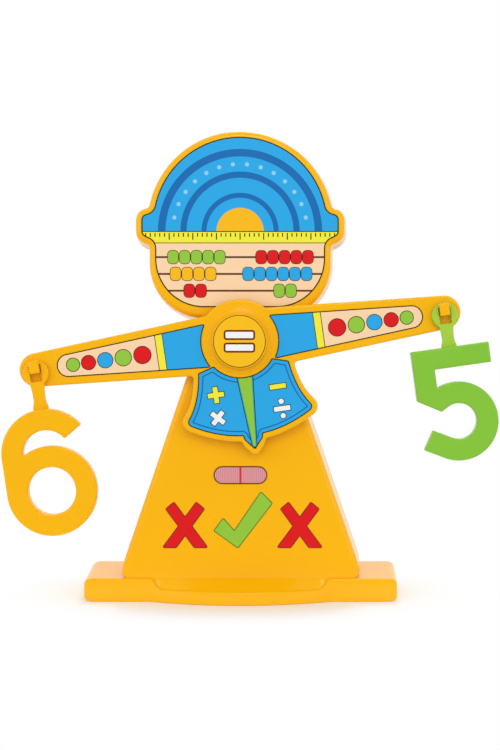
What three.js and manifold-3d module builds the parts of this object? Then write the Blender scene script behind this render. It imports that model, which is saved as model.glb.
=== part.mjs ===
// Math balance: a standing panel with a tilting two-armed beam, and two numbers hung on its hooks.
// Millimetres, +X right, +Y away from the viewer, +Z up, origin on the floor under the stand.
import * as THREE from "three";
import { mergeVertices } from "three/addons/utils/BufferGeometryUtils.js";
import Module from "manifold-3d";

const wasm = await Module();
wasm.setup();

// Driving dimensions: clearances and facets
const SEAT_GAP = 0.1;
const RUNNING_GAP = 0.4;
const HANG_GAP = 0.3;
const LABEL_GAP = 0.05;
const LABEL_THICKNESS = 0.3;
const WELD = 1e-4;
const CURVE_STEPS = 6;
const DIGIT_STEPS = 8;
const EDGE_STEPS = 2;
const ROUND_SIDES = 32;
const SCREW_SIDES = 12;
const WELL_SIDES = 16;

// Driving dimensions: base
const BASE_FRONT_HALF = 127.5;
const BASE_BACK_HALF = 131.5;
const BASE_BACK_REACH = 8.5;
const BASE_FRONT_REACH = 2.5;
const BASE_HEIGHT = 19;
const BASE_EDGE = 5;
const BASE_CORNER = 9;
const BASE_WALL = 2.5;
const BASE_FOOT_ROUND = 1;
const APRON_HALF_WIDTH = 74;
const APRON_REACH = 14.5;
const APRON_HEIGHT = 11;
const APRON_EDGE = 2;
const APRON_CREST = 0.02;
const RIB_THICKNESS = 2;
const RIB_PITCH = 34;

// Driving dimensions: stand
const STAND_DEPTH = 62;
const STAND_LEAN = 0.1;
const STAND_FLARE = 2.8;
const STAND_WALL = 2.5;
const STAND_EDGE = 4.5;
const STAND_FOOT_HALF = 99;
const STAND_FOOT_CORNER = 11;
const NECK_HALF = 27.4;
const PIVOT_HEIGHT = 212;
const HEAD_RISE = 18.3;
const JAW_HALF = 73.3;
const JAW_RADIUS = 44;
const BRIM_RISE = 59;
const BRIM_HEIGHT = 30;
const BRIM_REACH = 11;
const BRIM_CORNER = 11;
const DOME_RISE = 75.3;
const DOME_RADIUS = 75;
const COVER_THICKNESS = 2.5;
const COVER_GAP = 0.7;
const NECK_OVERLAP = 14;

// Driving dimensions: beam
const BEAM_TILT = 8.05;
const BEAM_STOP = 18;
const BEAM_THICKNESS = 8;
const BEAM_STANDOFF = 3;
const BEAM_SKIN = 2.2;
const TORSO_SKIN = 5.2;
const BEAM_EDGE = 1.8;
const ARM_LENGTH = 164.5;
const ARM_END_RADIUS = 13.5;
const ARM_ROOT_HALF = 25.4;
const HUB_RADIUS = 33.5;
const COLLAR_RADIUS = 26;
const COLLAR_HEIGHT = 1;
const TORSO_TOP_HALF = 40;
const TORSO_WAIST_HALF = 41;
const TORSO_WAIST_FLARE = 3;
const TORSO_HIP_HALF = 54.5;
const TORSO_HIP_DROP = 59;
const TORSO_HIP_RADIUS = 8.5;
const TORSO_HEM_DROP = 80;
const TORSO_HEM_BOW = 1.5;
const POINTER_DROP = 92;
const POINTER_HALF = 9.5;
const POINTER_SHOULDER = 4;
const POINTER_TIP_HALF = 2.4;
const STOP_DROP = 38;
const STOP_RADIUS = 3;

// Driving dimensions: pivot
const STEM_RADIUS = 6;
const KNOB_RADIUS = 22;
const KNOB_THICKNESS = 6;
const KNOB_EDGE = 2;
const PIVOT_BOSS_RADIUS = 11;
const PIVOT_BOSS_LENGTH = 12;
const WASHER_RADIUS = 9;
const WASHER_THICKNESS = 1.2;

// Driving dimensions: hooks and numbers
const PEG_WIDTH = 7.8;
const PEG_TOP = 4;
const PEG_HEIGHT = 6.6;
const LIP_HEIGHT = 9.6;
const LIP_THICKNESS = 3;
const EYE_RADIUS = 10.3;
const EYE_DROP = 2.5;
const EYE_HOLE_WIDTH = 9.5;
const EYE_HOLE_HEIGHT = 13.6;
const EYE_THICKNESS = 4;
const STEM_WIDTH = 9.5;
const STEM_FLARE = 3.2;
const NUMBER_THICKNESS = 9;
const NUMBER_EDGE = 1.6;
const NUMBER_WALL = 2.6;
const UNIT_VOLUME = 3200;
const SIX_TOP = 31.3;
const SIX_RADIUS = 36;
const SIX_STROKE = 17;
const SIX_CENTRES = 29.7;
const SIX_TERMINAL = 33;
const FIVE_TOP = 27.7;
const FIVE_HALF_WIDTH = 31.6;
const FIVE_BAR = 15.7;
const FIVE_STROKE = 17.3;
const FIVE_RADIUS = 31.7;
const FIVE_CENTRE_DROP = 86;
const FIVE_CUT_ANGLE = 144;
const FIVE_TAIL_ANGLE = 236;
const FIVE_TAIL_LENGTH = 14;
const FIVE_SPUR_DROP = 67.3;

// Driving dimensions: screws and labels
const SCREW_HEAD_RADIUS = 3.8;
const SCREW_HEAD_HEIGHT = 2.4;
const SCREW_SHANK_RADIUS = 1.6;
const SCREW_SHANK_LENGTH = 11;
const PILOT_RADIUS = 1.9;
const POST_RADIUS = 4.5;
const WELL_RADIUS = 4.6;
const WELL_DEPTH = 7;
const COVER_SCREW_FOOT_X = 69;
const COVER_SCREW_FOOT_RISE = 28;
const COVER_SCREW_HEAD_X = 45;
const BASE_SCREW_X = 60;
const BASE_SCREW_SEAT = 5;
const BASE_POST_HEIGHT = 18;
const LABEL_MARGIN = 5;
const LABEL_CHIN = 4;
const ARM_LABEL_MARGIN = 5.5;
const ARM_LABEL_END = 17;
const TORSO_LABEL_MARGIN = 4.5;
const COLLAR_LABEL_GAP = 3;
const KNOB_LABEL_RADIUS = 20.8;
const SCALE_WIDTH = 43.6;
const SCALE_HEIGHT = 14.7;
const SCALE_CENTRE = 103.2;

// Planes and heights that follow from the sizes above
const FRONT = -STAND_DEPTH / 2;
const BASE_FRONT = FRONT - BASE_FRONT_REACH;
const BASE_BACK = STAND_DEPTH / 2 + BASE_BACK_REACH;
const STAND_FOOT = BASE_HEIGHT + SEAT_GAP;
const JAW_BOTTOM = PIVOT_HEIGHT + HEAD_RISE;
const BRIM_BOTTOM = JAW_BOTTOM + BRIM_RISE;
const BRIM_TOP = BRIM_BOTTOM + BRIM_HEIGHT;
const DOME_CENTRE = JAW_BOTTOM + DOME_RISE;
const BEAM_BACK = FRONT - BEAM_STANDOFF;
const BEAM_FRONT = BEAM_BACK - BEAM_THICKNESS;
const KNOB_BACK = BEAM_FRONT - COLLAR_HEIGHT - RUNNING_GAP;
const EYE_BACK = BEAM_FRONT - RUNNING_GAP;
const BORE_RADIUS = STEM_RADIUS + HANG_GAP;
const BOSS_BACK = FRONT + STAND_WALL + PIVOT_BOSS_LENGTH;
const backAt = (z) => STAND_DEPTH / 2 - STAND_LEAN * (z - BASE_HEIGHT);
const radians = THREE.MathUtils.degToRad;

// Finishes
const plastic = (color) => new THREE.MeshStandardMaterial({ color, roughness: 0.28, metalness: 0 });
const YELLOW = plastic(0xf9b617);
const GREEN = plastic(0x8cc640);
const VINYL_BLUE = new THREE.MeshStandardMaterial({ color: 0x2ea8e3, roughness: 0.4, metalness: 0 });
const VINYL_PEACH = new THREE.MeshStandardMaterial({ color: 0xfbd2a1, roughness: 0.4, metalness: 0 });
const VINYL_PINK = new THREE.MeshStandardMaterial({ color: 0xde989d, roughness: 0.4, metalness: 0 });
const VINYL_YELLOW = new THREE.MeshStandardMaterial({ color: 0xfcc306, roughness: 0.4, metalness: 0 });
const STEEL = new THREE.MeshStandardMaterial({ color: 0xb9bcc0, roughness: 0.35, metalness: 1 });

// A closed geometry as a solid that can be joined and cut.
function solid(geometry) {
  geometry.deleteAttribute("normal");
  geometry.deleteAttribute("uv");
  const welded = mergeVertices(geometry, WELD);
  const vertProperties = welded.attributes.position.array;
  const triVerts = new Uint32Array(welded.index.array);
  return new wasm.Manifold(new wasm.Mesh({ numProp: 3, vertProperties, triVerts }));
}

// A named mesh from a finished solid.
function piece(name, body, material) {
  const mesh = body.getMesh();
  const geometry = new THREE.BufferGeometry();
  geometry.setAttribute("position", new THREE.BufferAttribute(mesh.vertProperties, 3));
  geometry.setIndex(new THREE.BufferAttribute(mesh.triVerts, 1));
  geometry.computeVertexNormals();
  const made = new THREE.Mesh(geometry, material);
  made.name = name;
  return made;
}

const union = (bodies) => bodies.reduce((sum, body) => sum.add(body));

// The points of a shape, anticlockwise, with no point twice.
function outlineOf(shape, steps = CURVE_STEPS) {
  const points = shape.getPoints(steps).filter((point, i, all) => point.distanceTo(all.at(i - 1)) > WELD);
  return THREE.ShapeUtils.isClockWise(points) ? points.reverse() : points;
}

// An anticlockwise outline moved outwards by a distance, or inwards where it is negative.
function offset(points, distance) {
  const sharpest = 0.35;
  return points.map((point, i) => {
    const arriving = point.clone().sub(points.at(i - 1)).normalize();
    const leaving = points[(i + 1) % points.length].clone().sub(point).normalize();
    const normal = new THREE.Vector2(arriving.y, -arriving.x);
    const mitre = new THREE.Vector2(leaving.y, -leaving.x).add(normal).normalize();
    const reach = distance / Math.max(mitre.dot(normal), sharpest);
    return point.clone().addScaledVector(mitre, reach);
  });
}

// A solid through rings of equal count, from the front or bottom ring to the last.
function loft(rings, cap) {
  const count = rings[0].length;
  const positions = rings.flat().flatMap((point) => point.toArray());
  const faces = THREE.ShapeUtils.triangulateShape(cap, []);
  const last = (rings.length - 1) * count;
  const index = faces.flatMap(([a, b, c]) => [a, b, c, last + a, last + c, last + b]);
  for (let ring = 0; ring + 1 < rings.length; ring++) {
    for (let i = 0; i < count; i++) {
      const j = (i + 1) % count;
      const here = ring * count;
      const next = here + count;
      index.push(here + i, next + i, here + j, here + j, next + i, next + j);
    }
  }
  const geometry = new THREE.BufferGeometry();
  geometry.setAttribute("position", new THREE.Float32BufferAttribute(positions, 3));
  geometry.setIndex(index);
  return solid(geometry);
}

// Front-view loft: each section has an outward offset and a depth, which may follow the height.
function frontLoft(outline, sections, lowest) {
  const rings = sections.map(({ out, depth }) =>
    offset(outline, out).map(({ x, y }) => {
      const z = Math.max(y, lowest);
      return new THREE.Vector3(x, depth(z), z);
    }),
  );
  return loft(rings, outline);
}

// Quarter-round sections from a flat face to the wall beside it.
function roundedEdge(radius, steps, place) {
  return Array.from({ length: steps + 1 }, (_, i) => {
    const turn = (i / steps) * (Math.PI / 2);
    return place(-radius * (1 - Math.sin(turn)), radius * (1 - Math.cos(turn)));
  });
}

// A front-view plate, its back at a given depth, with rounded edges on both faces.
function plate(shape, back, thickness, edge = 0) {
  const geometry = new THREE.ExtrudeGeometry(shape, {
    depth: thickness - 2 * edge,
    bevelEnabled: edge > 0,
    bevelThickness: edge,
    bevelSize: edge,
    bevelOffset: -edge,
    bevelSegments: EDGE_STEPS,
    curveSegments: CURVE_STEPS,
  });
  geometry.rotateX(Math.PI / 2).translate(0, back - edge, 0);
  return solid(geometry);
}

const shapeOf = (points) => new THREE.Shape(points);
const inset = (shape, distance) => shapeOf(offset(outlineOf(shape), -distance));

// A disc shape about a point of the front view.
function disc(x, z, radius) {
  const circle = new THREE.EllipseCurve(x, z, radius, radius);
  return shapeOf(circle.getPoints(ROUND_SIDES).slice(1));
}

// A round rod along Y between two depths.
function rodY(x, z, radius, from, to, sides = ROUND_SIDES) {
  const rod = new THREE.CylinderGeometry(radius, radius, Math.abs(to - from), sides);
  return solid(rod.translate(x, (from + to) / 2, z));
}

// A round rod along Z between two heights.
function rodZ(x, y, radius, from, to, sides = ROUND_SIDES) {
  const rod = new THREE.CylinderGeometry(radius, radius, Math.abs(to - from), sides);
  return solid(rod.rotateX(Math.PI / 2).translate(x, y, (from + to) / 2));
}

// A box by its corners.
function block(x0, x1, y0, y1, z0, z1) {
  const box = new THREE.BoxGeometry(x1 - x0, y1 - y0, z1 - z0);
  return solid(box.translate((x0 + x1) / 2, (y0 + y1) / 2, (z0 + z1) / 2));
}

// A body turned about Y, from a profile of radius and depth that closes on the axis.
function turned(profile, sides) {
  return solid(new THREE.LatheGeometry(profile.map(([r, y]) => new THREE.Vector2(r, y)), sides));
}

// A closed shape from the right half of a symmetric outline, drawn from its top to its bottom.
function symmetric(half) {
  const right = half.getPoints(CURVE_STEPS);
  const left = right.filter((point) => point.x > WELD).map((point) => new THREE.Vector2(-point.x, point.y));
  return shapeOf([...right, ...left.reverse()]);
}

// Base: a bar with bowed ends and a lower apron in front, hollow and ribbed underneath.
function basePlan() {
  const [wide, narrow, corner] = [BASE_BACK_HALF, BASE_FRONT_HALF, BASE_CORNER];
  const half = new THREE.Path();
  half.moveTo(0, BASE_BACK).lineTo(wide - corner, BASE_BACK);
  half.quadraticCurveTo(wide, BASE_BACK, wide, BASE_BACK - corner);
  half.lineTo(narrow, BASE_FRONT + corner).quadraticCurveTo(narrow, BASE_FRONT, narrow - corner, BASE_FRONT);
  half.lineTo(0, BASE_FRONT);
  return outlineOf(symmetric(half));
}

function apronPlan() {
  const radius = (APRON_HALF_WIDTH ** 2 + APRON_REACH ** 2) / (2 * APRON_REACH);
  const centre = BASE_FRONT - APRON_REACH + radius;
  const start = Math.asin((FRONT - centre) / radius);
  const plan = new THREE.Shape().absarc(0, centre, radius, Math.PI - start, 2 * Math.PI + start, false);
  return outlineOf(plan);
}

// Plan loft: each section has an outward offset, a height and a share of its reach past the stand's front.
function planLoft(outline, sections) {
  const rings = sections.map(({ out, height, reach = 1 }) =>
    offset(outline, out).map(({ x, y }) => new THREE.Vector3(x, FRONT + (y - FRONT) * reach, height)),
  );
  return loft(rings, outline);
}

function mouldedFoot(outline, height, edge, crest = []) {
  return planLoft(outline, [
    ...crest,
    ...roundedEdge(edge, EDGE_STEPS + 1, (out, drop) => ({ out, height: height - drop })),
    { out: 0, height: BASE_FOOT_ROUND },
    { out: -BASE_FOOT_ROUND, height: 0 },
  ]);
}

function footHollow(outline, height, crest = []) {
  return planLoft(outline, [
    ...crest,
    { out: -BASE_WALL, height: height - BASE_WALL },
    { out: -BASE_WALL, height: -1 },
  ]);
}

function makeBase() {
  const bar = basePlan();
  const apron = apronPlan();
  const crest = { out: -APRON_EDGE, height: BASE_HEIGHT, reach: APRON_CREST };
  const roof = { out: -BASE_WALL, height: BASE_HEIGHT - BASE_WALL, reach: APRON_CREST };
  const outside = mouldedFoot(bar, BASE_HEIGHT, BASE_EDGE).add(
    mouldedFoot(apron, APRON_HEIGHT, APRON_EDGE, [crest]),
  );
  const hollow = footHollow(bar, BASE_HEIGHT).add(footHollow(apron, APRON_HEIGHT, [roof]));
  const web = RIB_THICKNESS / 2;
  const longRib = (y) => block(-BASE_BACK_HALF, BASE_BACK_HALF, y - web, y + web, -2, BASE_HEIGHT);
  const keep = [longRib(0), longRib(BASE_FRONT + BASE_WALL)];
  for (let x = 0; x < BASE_FRONT_HALF - RIB_PITCH / 2; x += RIB_PITCH) {
    for (const side of x > 0 ? [-x, x] : [0]) {
      keep.push(block(side - web, side + web, BASE_FRONT - APRON_REACH, BASE_BACK, -2, BASE_HEIGHT));
    }
  }
  const seat = BASE_HEIGHT - BASE_SCREW_SEAT;
  const cuts = [];
  for (const x of [-BASE_SCREW_X, BASE_SCREW_X]) {
    keep.push(rodZ(x, 0, WELL_RADIUS + RIB_THICKNESS, -2, BASE_HEIGHT, WELL_SIDES));
    cuts.push(rodZ(x, 0, WELL_RADIUS, -2, seat, WELL_SIDES));
    cuts.push(rodZ(x, 0, PILOT_RADIUS, seat - 1, BASE_HEIGHT + 1, SCREW_SIDES));
  }
  return outside.subtract(hollow.subtract(union(keep))).subtract(union(cuts));
}

// Stand outlines in the front view: the head plate and the sloping panel under it.
function headShape(chin = 0) {
  const jaw = JAW_BOTTOM + JAW_RADIUS + chin;
  const brim = JAW_HALF + BRIM_REACH;
  const start = Math.asin((BRIM_TOP - DOME_CENTRE) / DOME_RADIUS);
  const half = new THREE.Path();
  half.absarc(0, DOME_CENTRE, DOME_RADIUS, Math.PI / 2, start, true);
  half.quadraticCurveTo(brim, BRIM_TOP - 1, brim, BRIM_TOP - BRIM_CORNER);
  half.lineTo(brim, BRIM_BOTTOM + BRIM_CORNER);
  half.quadraticCurveTo(brim, BRIM_BOTTOM + 3, JAW_HALF, BRIM_BOTTOM);
  half.lineTo(JAW_HALF, jaw);
  half.absarc(JAW_HALF - JAW_RADIUS, jaw, JAW_RADIUS, 0, -Math.PI / 2, true);
  half.lineTo(0, JAW_BOTTOM + chin);
  return symmetric(half);
}

function panelShape() {
  const corner = STAND_FOOT_CORNER;
  const slope = (STAND_FOOT_HALF - NECK_HALF) / (JAW_BOTTOM - STAND_FOOT);
  const half = new THREE.Path();
  half.moveTo(0, JAW_BOTTOM + NECK_OVERLAP).lineTo(NECK_HALF, JAW_BOTTOM + NECK_OVERLAP);
  half.lineTo(NECK_HALF, JAW_BOTTOM).lineTo(STAND_FOOT_HALF - slope * corner, STAND_FOOT + corner);
  half.quadraticCurveTo(STAND_FOOT_HALF, STAND_FOOT, STAND_FOOT_HALF - corner, STAND_FOOT);
  half.lineTo(0, STAND_FOOT);
  return symmetric(half);
}

const standOutlines = () => [headShape(), panelShape()].map(outlineOf);

// Where the five cover screws go, as places in the front view.
function coverScrewSpots() {
  const [footX, headX] = [COVER_SCREW_FOOT_X, COVER_SCREW_HEAD_X];
  const footZ = STAND_FOOT + COVER_SCREW_FOOT_RISE;
  const middle = (STAND_FOOT + PIVOT_HEIGHT) / 2;
  return [[-footX, footZ], [footX, footZ], [0, middle], [-headX, DOME_CENTRE], [headX, DOME_CENTRE]];
}

const wellFloor = (z) => backAt(z) - WELL_DEPTH;
const postEnd = (z) => wellFloor(z) - COVER_THICKNESS - SEAT_GAP;

// Front shell: rounded front edge, walls that flare to the back, posts, pivot boss and stop peg.
function makeStandFront() {
  const outside = union(standOutlines().map((outline) => frontLoft(outline, [
    ...roundedEdge(STAND_EDGE, EDGE_STEPS + 1, (out, drop) => ({ out, depth: () => FRONT + drop })),
    { out: STAND_FLARE, depth: backAt },
  ], STAND_FOOT)));
  const hollow = union(standOutlines().map((outline) => frontLoft(outline, [
    { out: -STAND_EDGE, depth: () => FRONT + STAND_WALL },
    { out: -STAND_WALL, depth: () => FRONT + STAND_EDGE },
    { out: STAND_FLARE - STAND_WALL, depth: (z) => backAt(z) + 1 },
  ], STAND_FOOT + STAND_WALL)));
  const root = FRONT + STAND_WALL / 2;
  const added = [rodY(0, PIVOT_HEIGHT, PIVOT_BOSS_RADIUS, root, BOSS_BACK)];
  const cuts = [rodY(0, PIVOT_HEIGHT, STEM_RADIUS + SEAT_GAP, FRONT - 1, BOSS_BACK + 1)];
  const pegEnd = BEAM_FRONT + TORSO_SKIN + RUNNING_GAP;
  added.push(rodY(0, PIVOT_HEIGHT - STOP_DROP, STOP_RADIUS, root, pegEnd, SCREW_SIDES));
  for (const [x, z] of coverScrewSpots()) {
    added.push(rodY(x, z, POST_RADIUS, root, postEnd(z), SCREW_SIDES));
    cuts.push(rodY(x, z, PILOT_RADIUS, postEnd(z) - SCREW_SHANK_LENGTH, postEnd(z) + 1, SCREW_SIDES));
  }
  for (const x of [-BASE_SCREW_X, BASE_SCREW_X]) {
    const floor = STAND_FOOT + STAND_WALL / 2;
    added.push(rodZ(x, 0, POST_RADIUS, floor, STAND_FOOT + BASE_POST_HEIGHT, SCREW_SIDES));
    cuts.push(rodZ(x, 0, PILOT_RADIUS, STAND_FOOT - 1, STAND_FOOT + SCREW_SHANK_LENGTH, SCREW_SIDES));
  }
  return outside.subtract(hollow).add(union(added)).subtract(union(cuts));
}

// Back cover: a flat panel inside the shell's rim, with a well for each screw.
function makeStandBack() {
  const edge = STAND_FLARE - STAND_WALL - COVER_GAP;
  const panel = union(standOutlines().map((outline) => frontLoft(outline, [
    { out: edge, depth: (z) => backAt(z) - COVER_THICKNESS },
    { out: edge, depth: backAt },
  ], STAND_FOOT + STAND_WALL + COVER_GAP)));
  const wells = [];
  const cuts = [];
  for (const [x, z] of coverScrewSpots()) {
    const floor = wellFloor(z);
    const mouth = backAt(z) - COVER_THICKNESS / 2;
    wells.push(rodY(x, z, WELL_RADIUS + RIB_THICKNESS, floor - COVER_THICKNESS, mouth, WELL_SIDES));
    cuts.push(rodY(x, z, WELL_RADIUS, floor, backAt(z) + COVER_THICKNESS, WELL_SIDES));
    cuts.push(rodY(x, z, PILOT_RADIUS, floor - COVER_THICKNESS - 1, floor + 1, SCREW_SIDES));
  }
  return panel.add(union(wells)).subtract(union(cuts));
}

// A pan-head screw along Y, its seat at zero and its head towards +Y.
function makeScrew() {
  const tip = SCREW_SHANK_RADIUS * 1.5;
  return turned([
    [0, -SCREW_SHANK_LENGTH],
    [SCREW_SHANK_RADIUS, tip - SCREW_SHANK_LENGTH],
    [SCREW_SHANK_RADIUS, 0],
    [SCREW_HEAD_RADIUS, 0],
    [SCREW_HEAD_RADIUS, SCREW_HEAD_HEIGHT * 0.45],
    [SCREW_HEAD_RADIUS * 0.72, SCREW_HEAD_HEIGHT],
    [0, SCREW_HEAD_HEIGHT],
  ], SCREW_SIDES);
}

// Pivot knob: a rounded disc and the stem that the beam turns on, with a screw hole up its end.
function makePivotKnob() {
  const front = KNOB_BACK - KNOB_THICKNESS;
  const stemEnd = BOSS_BACK - SEAT_GAP;
  const rim = roundedEdge(KNOB_EDGE, EDGE_STEPS, (out, drop) => [KNOB_RADIUS + out, front + drop]);
  return turned([
    [0, front],
    ...rim,
    [KNOB_RADIUS, KNOB_BACK],
    [STEM_RADIUS, KNOB_BACK],
    [STEM_RADIUS, stemEnd],
    [PILOT_RADIUS, stemEnd],
    [PILOT_RADIUS, stemEnd - SCREW_SHANK_LENGTH],
    [0, stemEnd - SCREW_SHANK_LENGTH],
  ], ROUND_SIDES);
}

function makePivotWasher() {
  const [inner, thick] = [PILOT_RADIUS, WASHER_THICKNESS];
  const profile = [[inner, 0], [WASHER_RADIUS, 0], [WASHER_RADIUS, thick], [inner, thick], [inner, 0]];
  return turned(profile, WELL_SIDES);
}

// Beam shapes, level, about the pivot: tapered arms, and the lower plate that ends in a pointer.
function armShape() {
  const reach = Math.hypot(ARM_LENGTH, ARM_ROOT_HALF);
  const taper = Math.atan2(ARM_ROOT_HALF, ARM_LENGTH) - Math.asin(ARM_END_RADIUS / reach);
  const half = new THREE.Path();
  half.moveTo(0, ARM_ROOT_HALF);
  half.lineTo(ARM_LENGTH + ARM_END_RADIUS * Math.sin(taper), ARM_END_RADIUS * Math.cos(taper));
  half.absarc(ARM_LENGTH, 0, ARM_END_RADIUS, Math.PI / 2 - taper, taper - Math.PI / 2, true);
  half.lineTo(0, -ARM_ROOT_HALF);
  return symmetric(half);
}

// One side of the lower plate from under the arm, round the hip and along the hem to the pointer.
function torsoSide(half, margin) {
  const hip = TORSO_HIP_HALF - TORSO_HIP_RADIUS;
  const radius = TORSO_HIP_RADIUS - margin;
  const waist = TORSO_WAIST_HALF - margin;
  const [hipStart, hipEnd] = [radians(38), radians(-62)];
  const hipX = hip + radius * Math.cos(hipStart);
  const hipZ = radius * Math.sin(hipStart) - TORSO_HIP_DROP;
  half.lineTo(waist, margin - ARM_ROOT_HALF);
  half.quadraticCurveTo(waist + TORSO_WAIST_FLARE, -TORSO_HIP_DROP * 0.75, hipX, hipZ);
  half.absarc(hip, -TORSO_HIP_DROP, radius, hipStart, hipEnd, true);
  const hem = margin - TORSO_HEM_DROP;
  half.quadraticCurveTo(hip * 0.6, hem + TORSO_HEM_BOW, POINTER_HALF - margin / 3, hem);
}

function torsoShape() {
  const half = new THREE.Path();
  half.moveTo(0, 0).lineTo(TORSO_TOP_HALF, 0);
  torsoSide(half, 0);
  half.quadraticCurveTo(POINTER_HALF, -TORSO_HEM_DROP - POINTER_SHOULDER, POINTER_TIP_HALF, 1 - POINTER_DROP);
  half.lineTo(0, -POINTER_DROP);
  return symmetric(half);
}

// A hook at an arm's end: a square peg with an upturned lip that keeps the number on.
function makeHook(x) {
  const lipBack = BEAM_FRONT - EYE_BACK + EYE_THICKNESS + RUNNING_GAP;
  const reach = lipBack + LIP_THICKNESS;
  const foot = PEG_TOP - PEG_HEIGHT;
  const profile = new THREE.Shape();
  profile.moveTo(-BEAM_SKIN / 2, foot).lineTo(reach, foot).lineTo(reach, foot + LIP_HEIGHT);
  profile.lineTo(lipBack, foot + LIP_HEIGHT).lineTo(lipBack, PEG_TOP).lineTo(-BEAM_SKIN / 2, PEG_TOP);
  const hook = new THREE.ExtrudeGeometry(profile, { depth: PEG_WIDTH, bevelEnabled: false });
  hook.rotateX(Math.PI / 2).rotateZ(-Math.PI / 2).translate(x + PEG_WIDTH / 2, BEAM_FRONT, 0);
  return solid(hook);
}

// A straight rib out from the pivot, at an angle from straight down.
function radialRib(angle, from, to) {
  const rib = new THREE.BoxGeometry(RIB_THICKNESS, BEAM_THICKNESS, to - from);
  rib.translate(0, (BEAM_BACK + BEAM_FRONT) / 2, -(from + to) / 2).rotateY(-angle);
  return solid(rib);
}

// The ribs that stay standing in the hollow back of the beam.
function beamRibs() {
  const web = RIB_THICKNESS / 2;
  const rib = (x0, x1, z0, z1) => block(x0, x1, BEAM_FRONT, BEAM_BACK, z0, z1);
  const ring = (radius) => {
    const inside = rodY(0, 0, radius - web, BEAM_FRONT - 1, BEAM_BACK + 1);
    return rodY(0, 0, radius + web, BEAM_FRONT, BEAM_BACK).subtract(inside);
  };
  const stop = Math.asin((web + STOP_RADIUS + RUNNING_GAP) / STOP_DROP);
  const wide = TORSO_HIP_HALF;
  const below = block(-wide, wide, BEAM_FRONT - 1, BEAM_BACK + 1, -POINTER_DROP, -ARM_ROOT_HALF);
  const ribs = [ring(STOP_DROP - STOP_RADIUS * 3), ring(STOP_DROP + STOP_RADIUS * 4).intersect(below)];
  for (const side of [-1, 1]) {
    ribs.push(radialRib(side * (radians(BEAM_STOP) + stop), PIVOT_BOSS_RADIUS, TORSO_HEM_DROP));
    ribs.push(rib(Math.min(0, side * ARM_LENGTH), Math.max(0, side * ARM_LENGTH), -web, web));
    for (let x = HUB_RADIUS + RIB_PITCH / 2; x < ARM_LENGTH; x += RIB_PITCH) {
      ribs.push(rib(side * x - web, side * x + web, -ARM_ROOT_HALF, ARM_ROOT_HALF));
    }
  }
  return union(ribs);
}

function makeBeam() {
  const shapes = [armShape(), torsoShape(), disc(0, 0, HUB_RADIUS)];
  const outside = union(shapes.map((shape) => plate(shape, BEAM_BACK, BEAM_THICKNESS, BEAM_EDGE)));
  const skins = [BEAM_SKIN, TORSO_SKIN, BEAM_SKIN];
  const hollow = union(shapes.map((shape, i) => {
    const depth = BEAM_THICKNESS - skins[i] + 1;
    return plate(inset(shape, BEAM_SKIN), BEAM_BACK + 1, depth);
  }));
  const bossBack = FRONT - RUNNING_GAP;
  const boss = rodY(0, 0, PIVOT_BOSS_RADIUS, bossBack, BEAM_FRONT + BEAM_SKIN / 2);
  const collar = rodY(0, 0, COLLAR_RADIUS, BEAM_FRONT + BEAM_SKIN / 2, BEAM_FRONT - COLLAR_HEIGHT);
  const bore = rodY(0, 0, BORE_RADIUS, bossBack + 1, BEAM_FRONT - COLLAR_HEIGHT - 1);
  const hooks = [makeHook(-ARM_LENGTH), makeHook(ARM_LENGTH)];
  return union([outside.subtract(hollow.subtract(beamRibs())), boss, collar, ...hooks]).subtract(bore);
}

// Numbers: each hangs by an eye; its back is cored out so that it weighs its value.
function sixOutline() {
  const upper = -SIX_TOP - SIX_RADIUS;
  const lower = upper - SIX_CENTRES;
  const inner = SIX_RADIUS - SIX_STROKE;
  const drop = (SIX_RADIUS ** 2 - inner ** 2 - SIX_CENTRES ** 2) / (2 * SIX_CENTRES);
  const notch = Math.acos(drop / inner) + Math.PI / 2;
  const notchX = inner * Math.cos(notch);
  const notchY = inner * Math.sin(notch);
  const join = Math.atan2(notchY + SIX_CENTRES, notchX);
  const shape = new THREE.Shape();
  shape.absarc(0, upper, SIX_RADIUS, radians(SIX_TERMINAL), Math.PI, false);
  shape.absarc(0, lower, SIX_RADIUS, Math.PI, 2 * Math.PI + join, false);
  shape.absarc(0, upper, inner, Math.atan2(notchY, notchX), radians(SIX_TERMINAL), true);
  const counter = (margin) => disc(0, lower, inner + margin);
  return { shape: shapeOf(outlineOf(shape, DIGIT_STEPS)), counter, top: SIX_TOP };
}

function fiveOutline() {
  const inner = FIVE_RADIUS - FIVE_STROKE;
  const left = -FIVE_HALF_WIDTH;
  const stroke = left + FIVE_STROKE;
  const joint = Math.acos(stroke / FIVE_RADIUS);
  const tail = radians(FIVE_TAIL_ANGLE);
  const tailX = FIVE_TAIL_LENGTH * Math.sin(tail);
  const tailY = -FIVE_TAIL_LENGTH * Math.cos(tail);
  const end = (radius) => {
    const x = radius * Math.cos(tail) + tailX;
    return [x, radius * Math.sin(tail) + tailY - FIVE_CENTRE_DROP];
  };
  const shape = new THREE.Shape();
  shape.moveTo(FIVE_HALF_WIDTH, -FIVE_TOP).lineTo(left, -FIVE_TOP).lineTo(left, -FIVE_SPUR_DROP);
  shape.absarc(0, -FIVE_CENTRE_DROP, inner, radians(FIVE_CUT_ANGLE), tail - 2 * Math.PI, true);
  shape.lineTo(...end(inner)).lineTo(...end(FIVE_RADIUS));
  shape.absarc(0, -FIVE_CENTRE_DROP, FIVE_RADIUS, tail, 2 * Math.PI + joint, false);
  shape.lineTo(stroke, -FIVE_TOP - FIVE_BAR).lineTo(FIVE_HALF_WIDTH, -FIVE_TOP - FIVE_BAR);
  return { shape: shapeOf(outlineOf(shape, DIGIT_STEPS)), top: FIVE_TOP };
}

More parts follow.
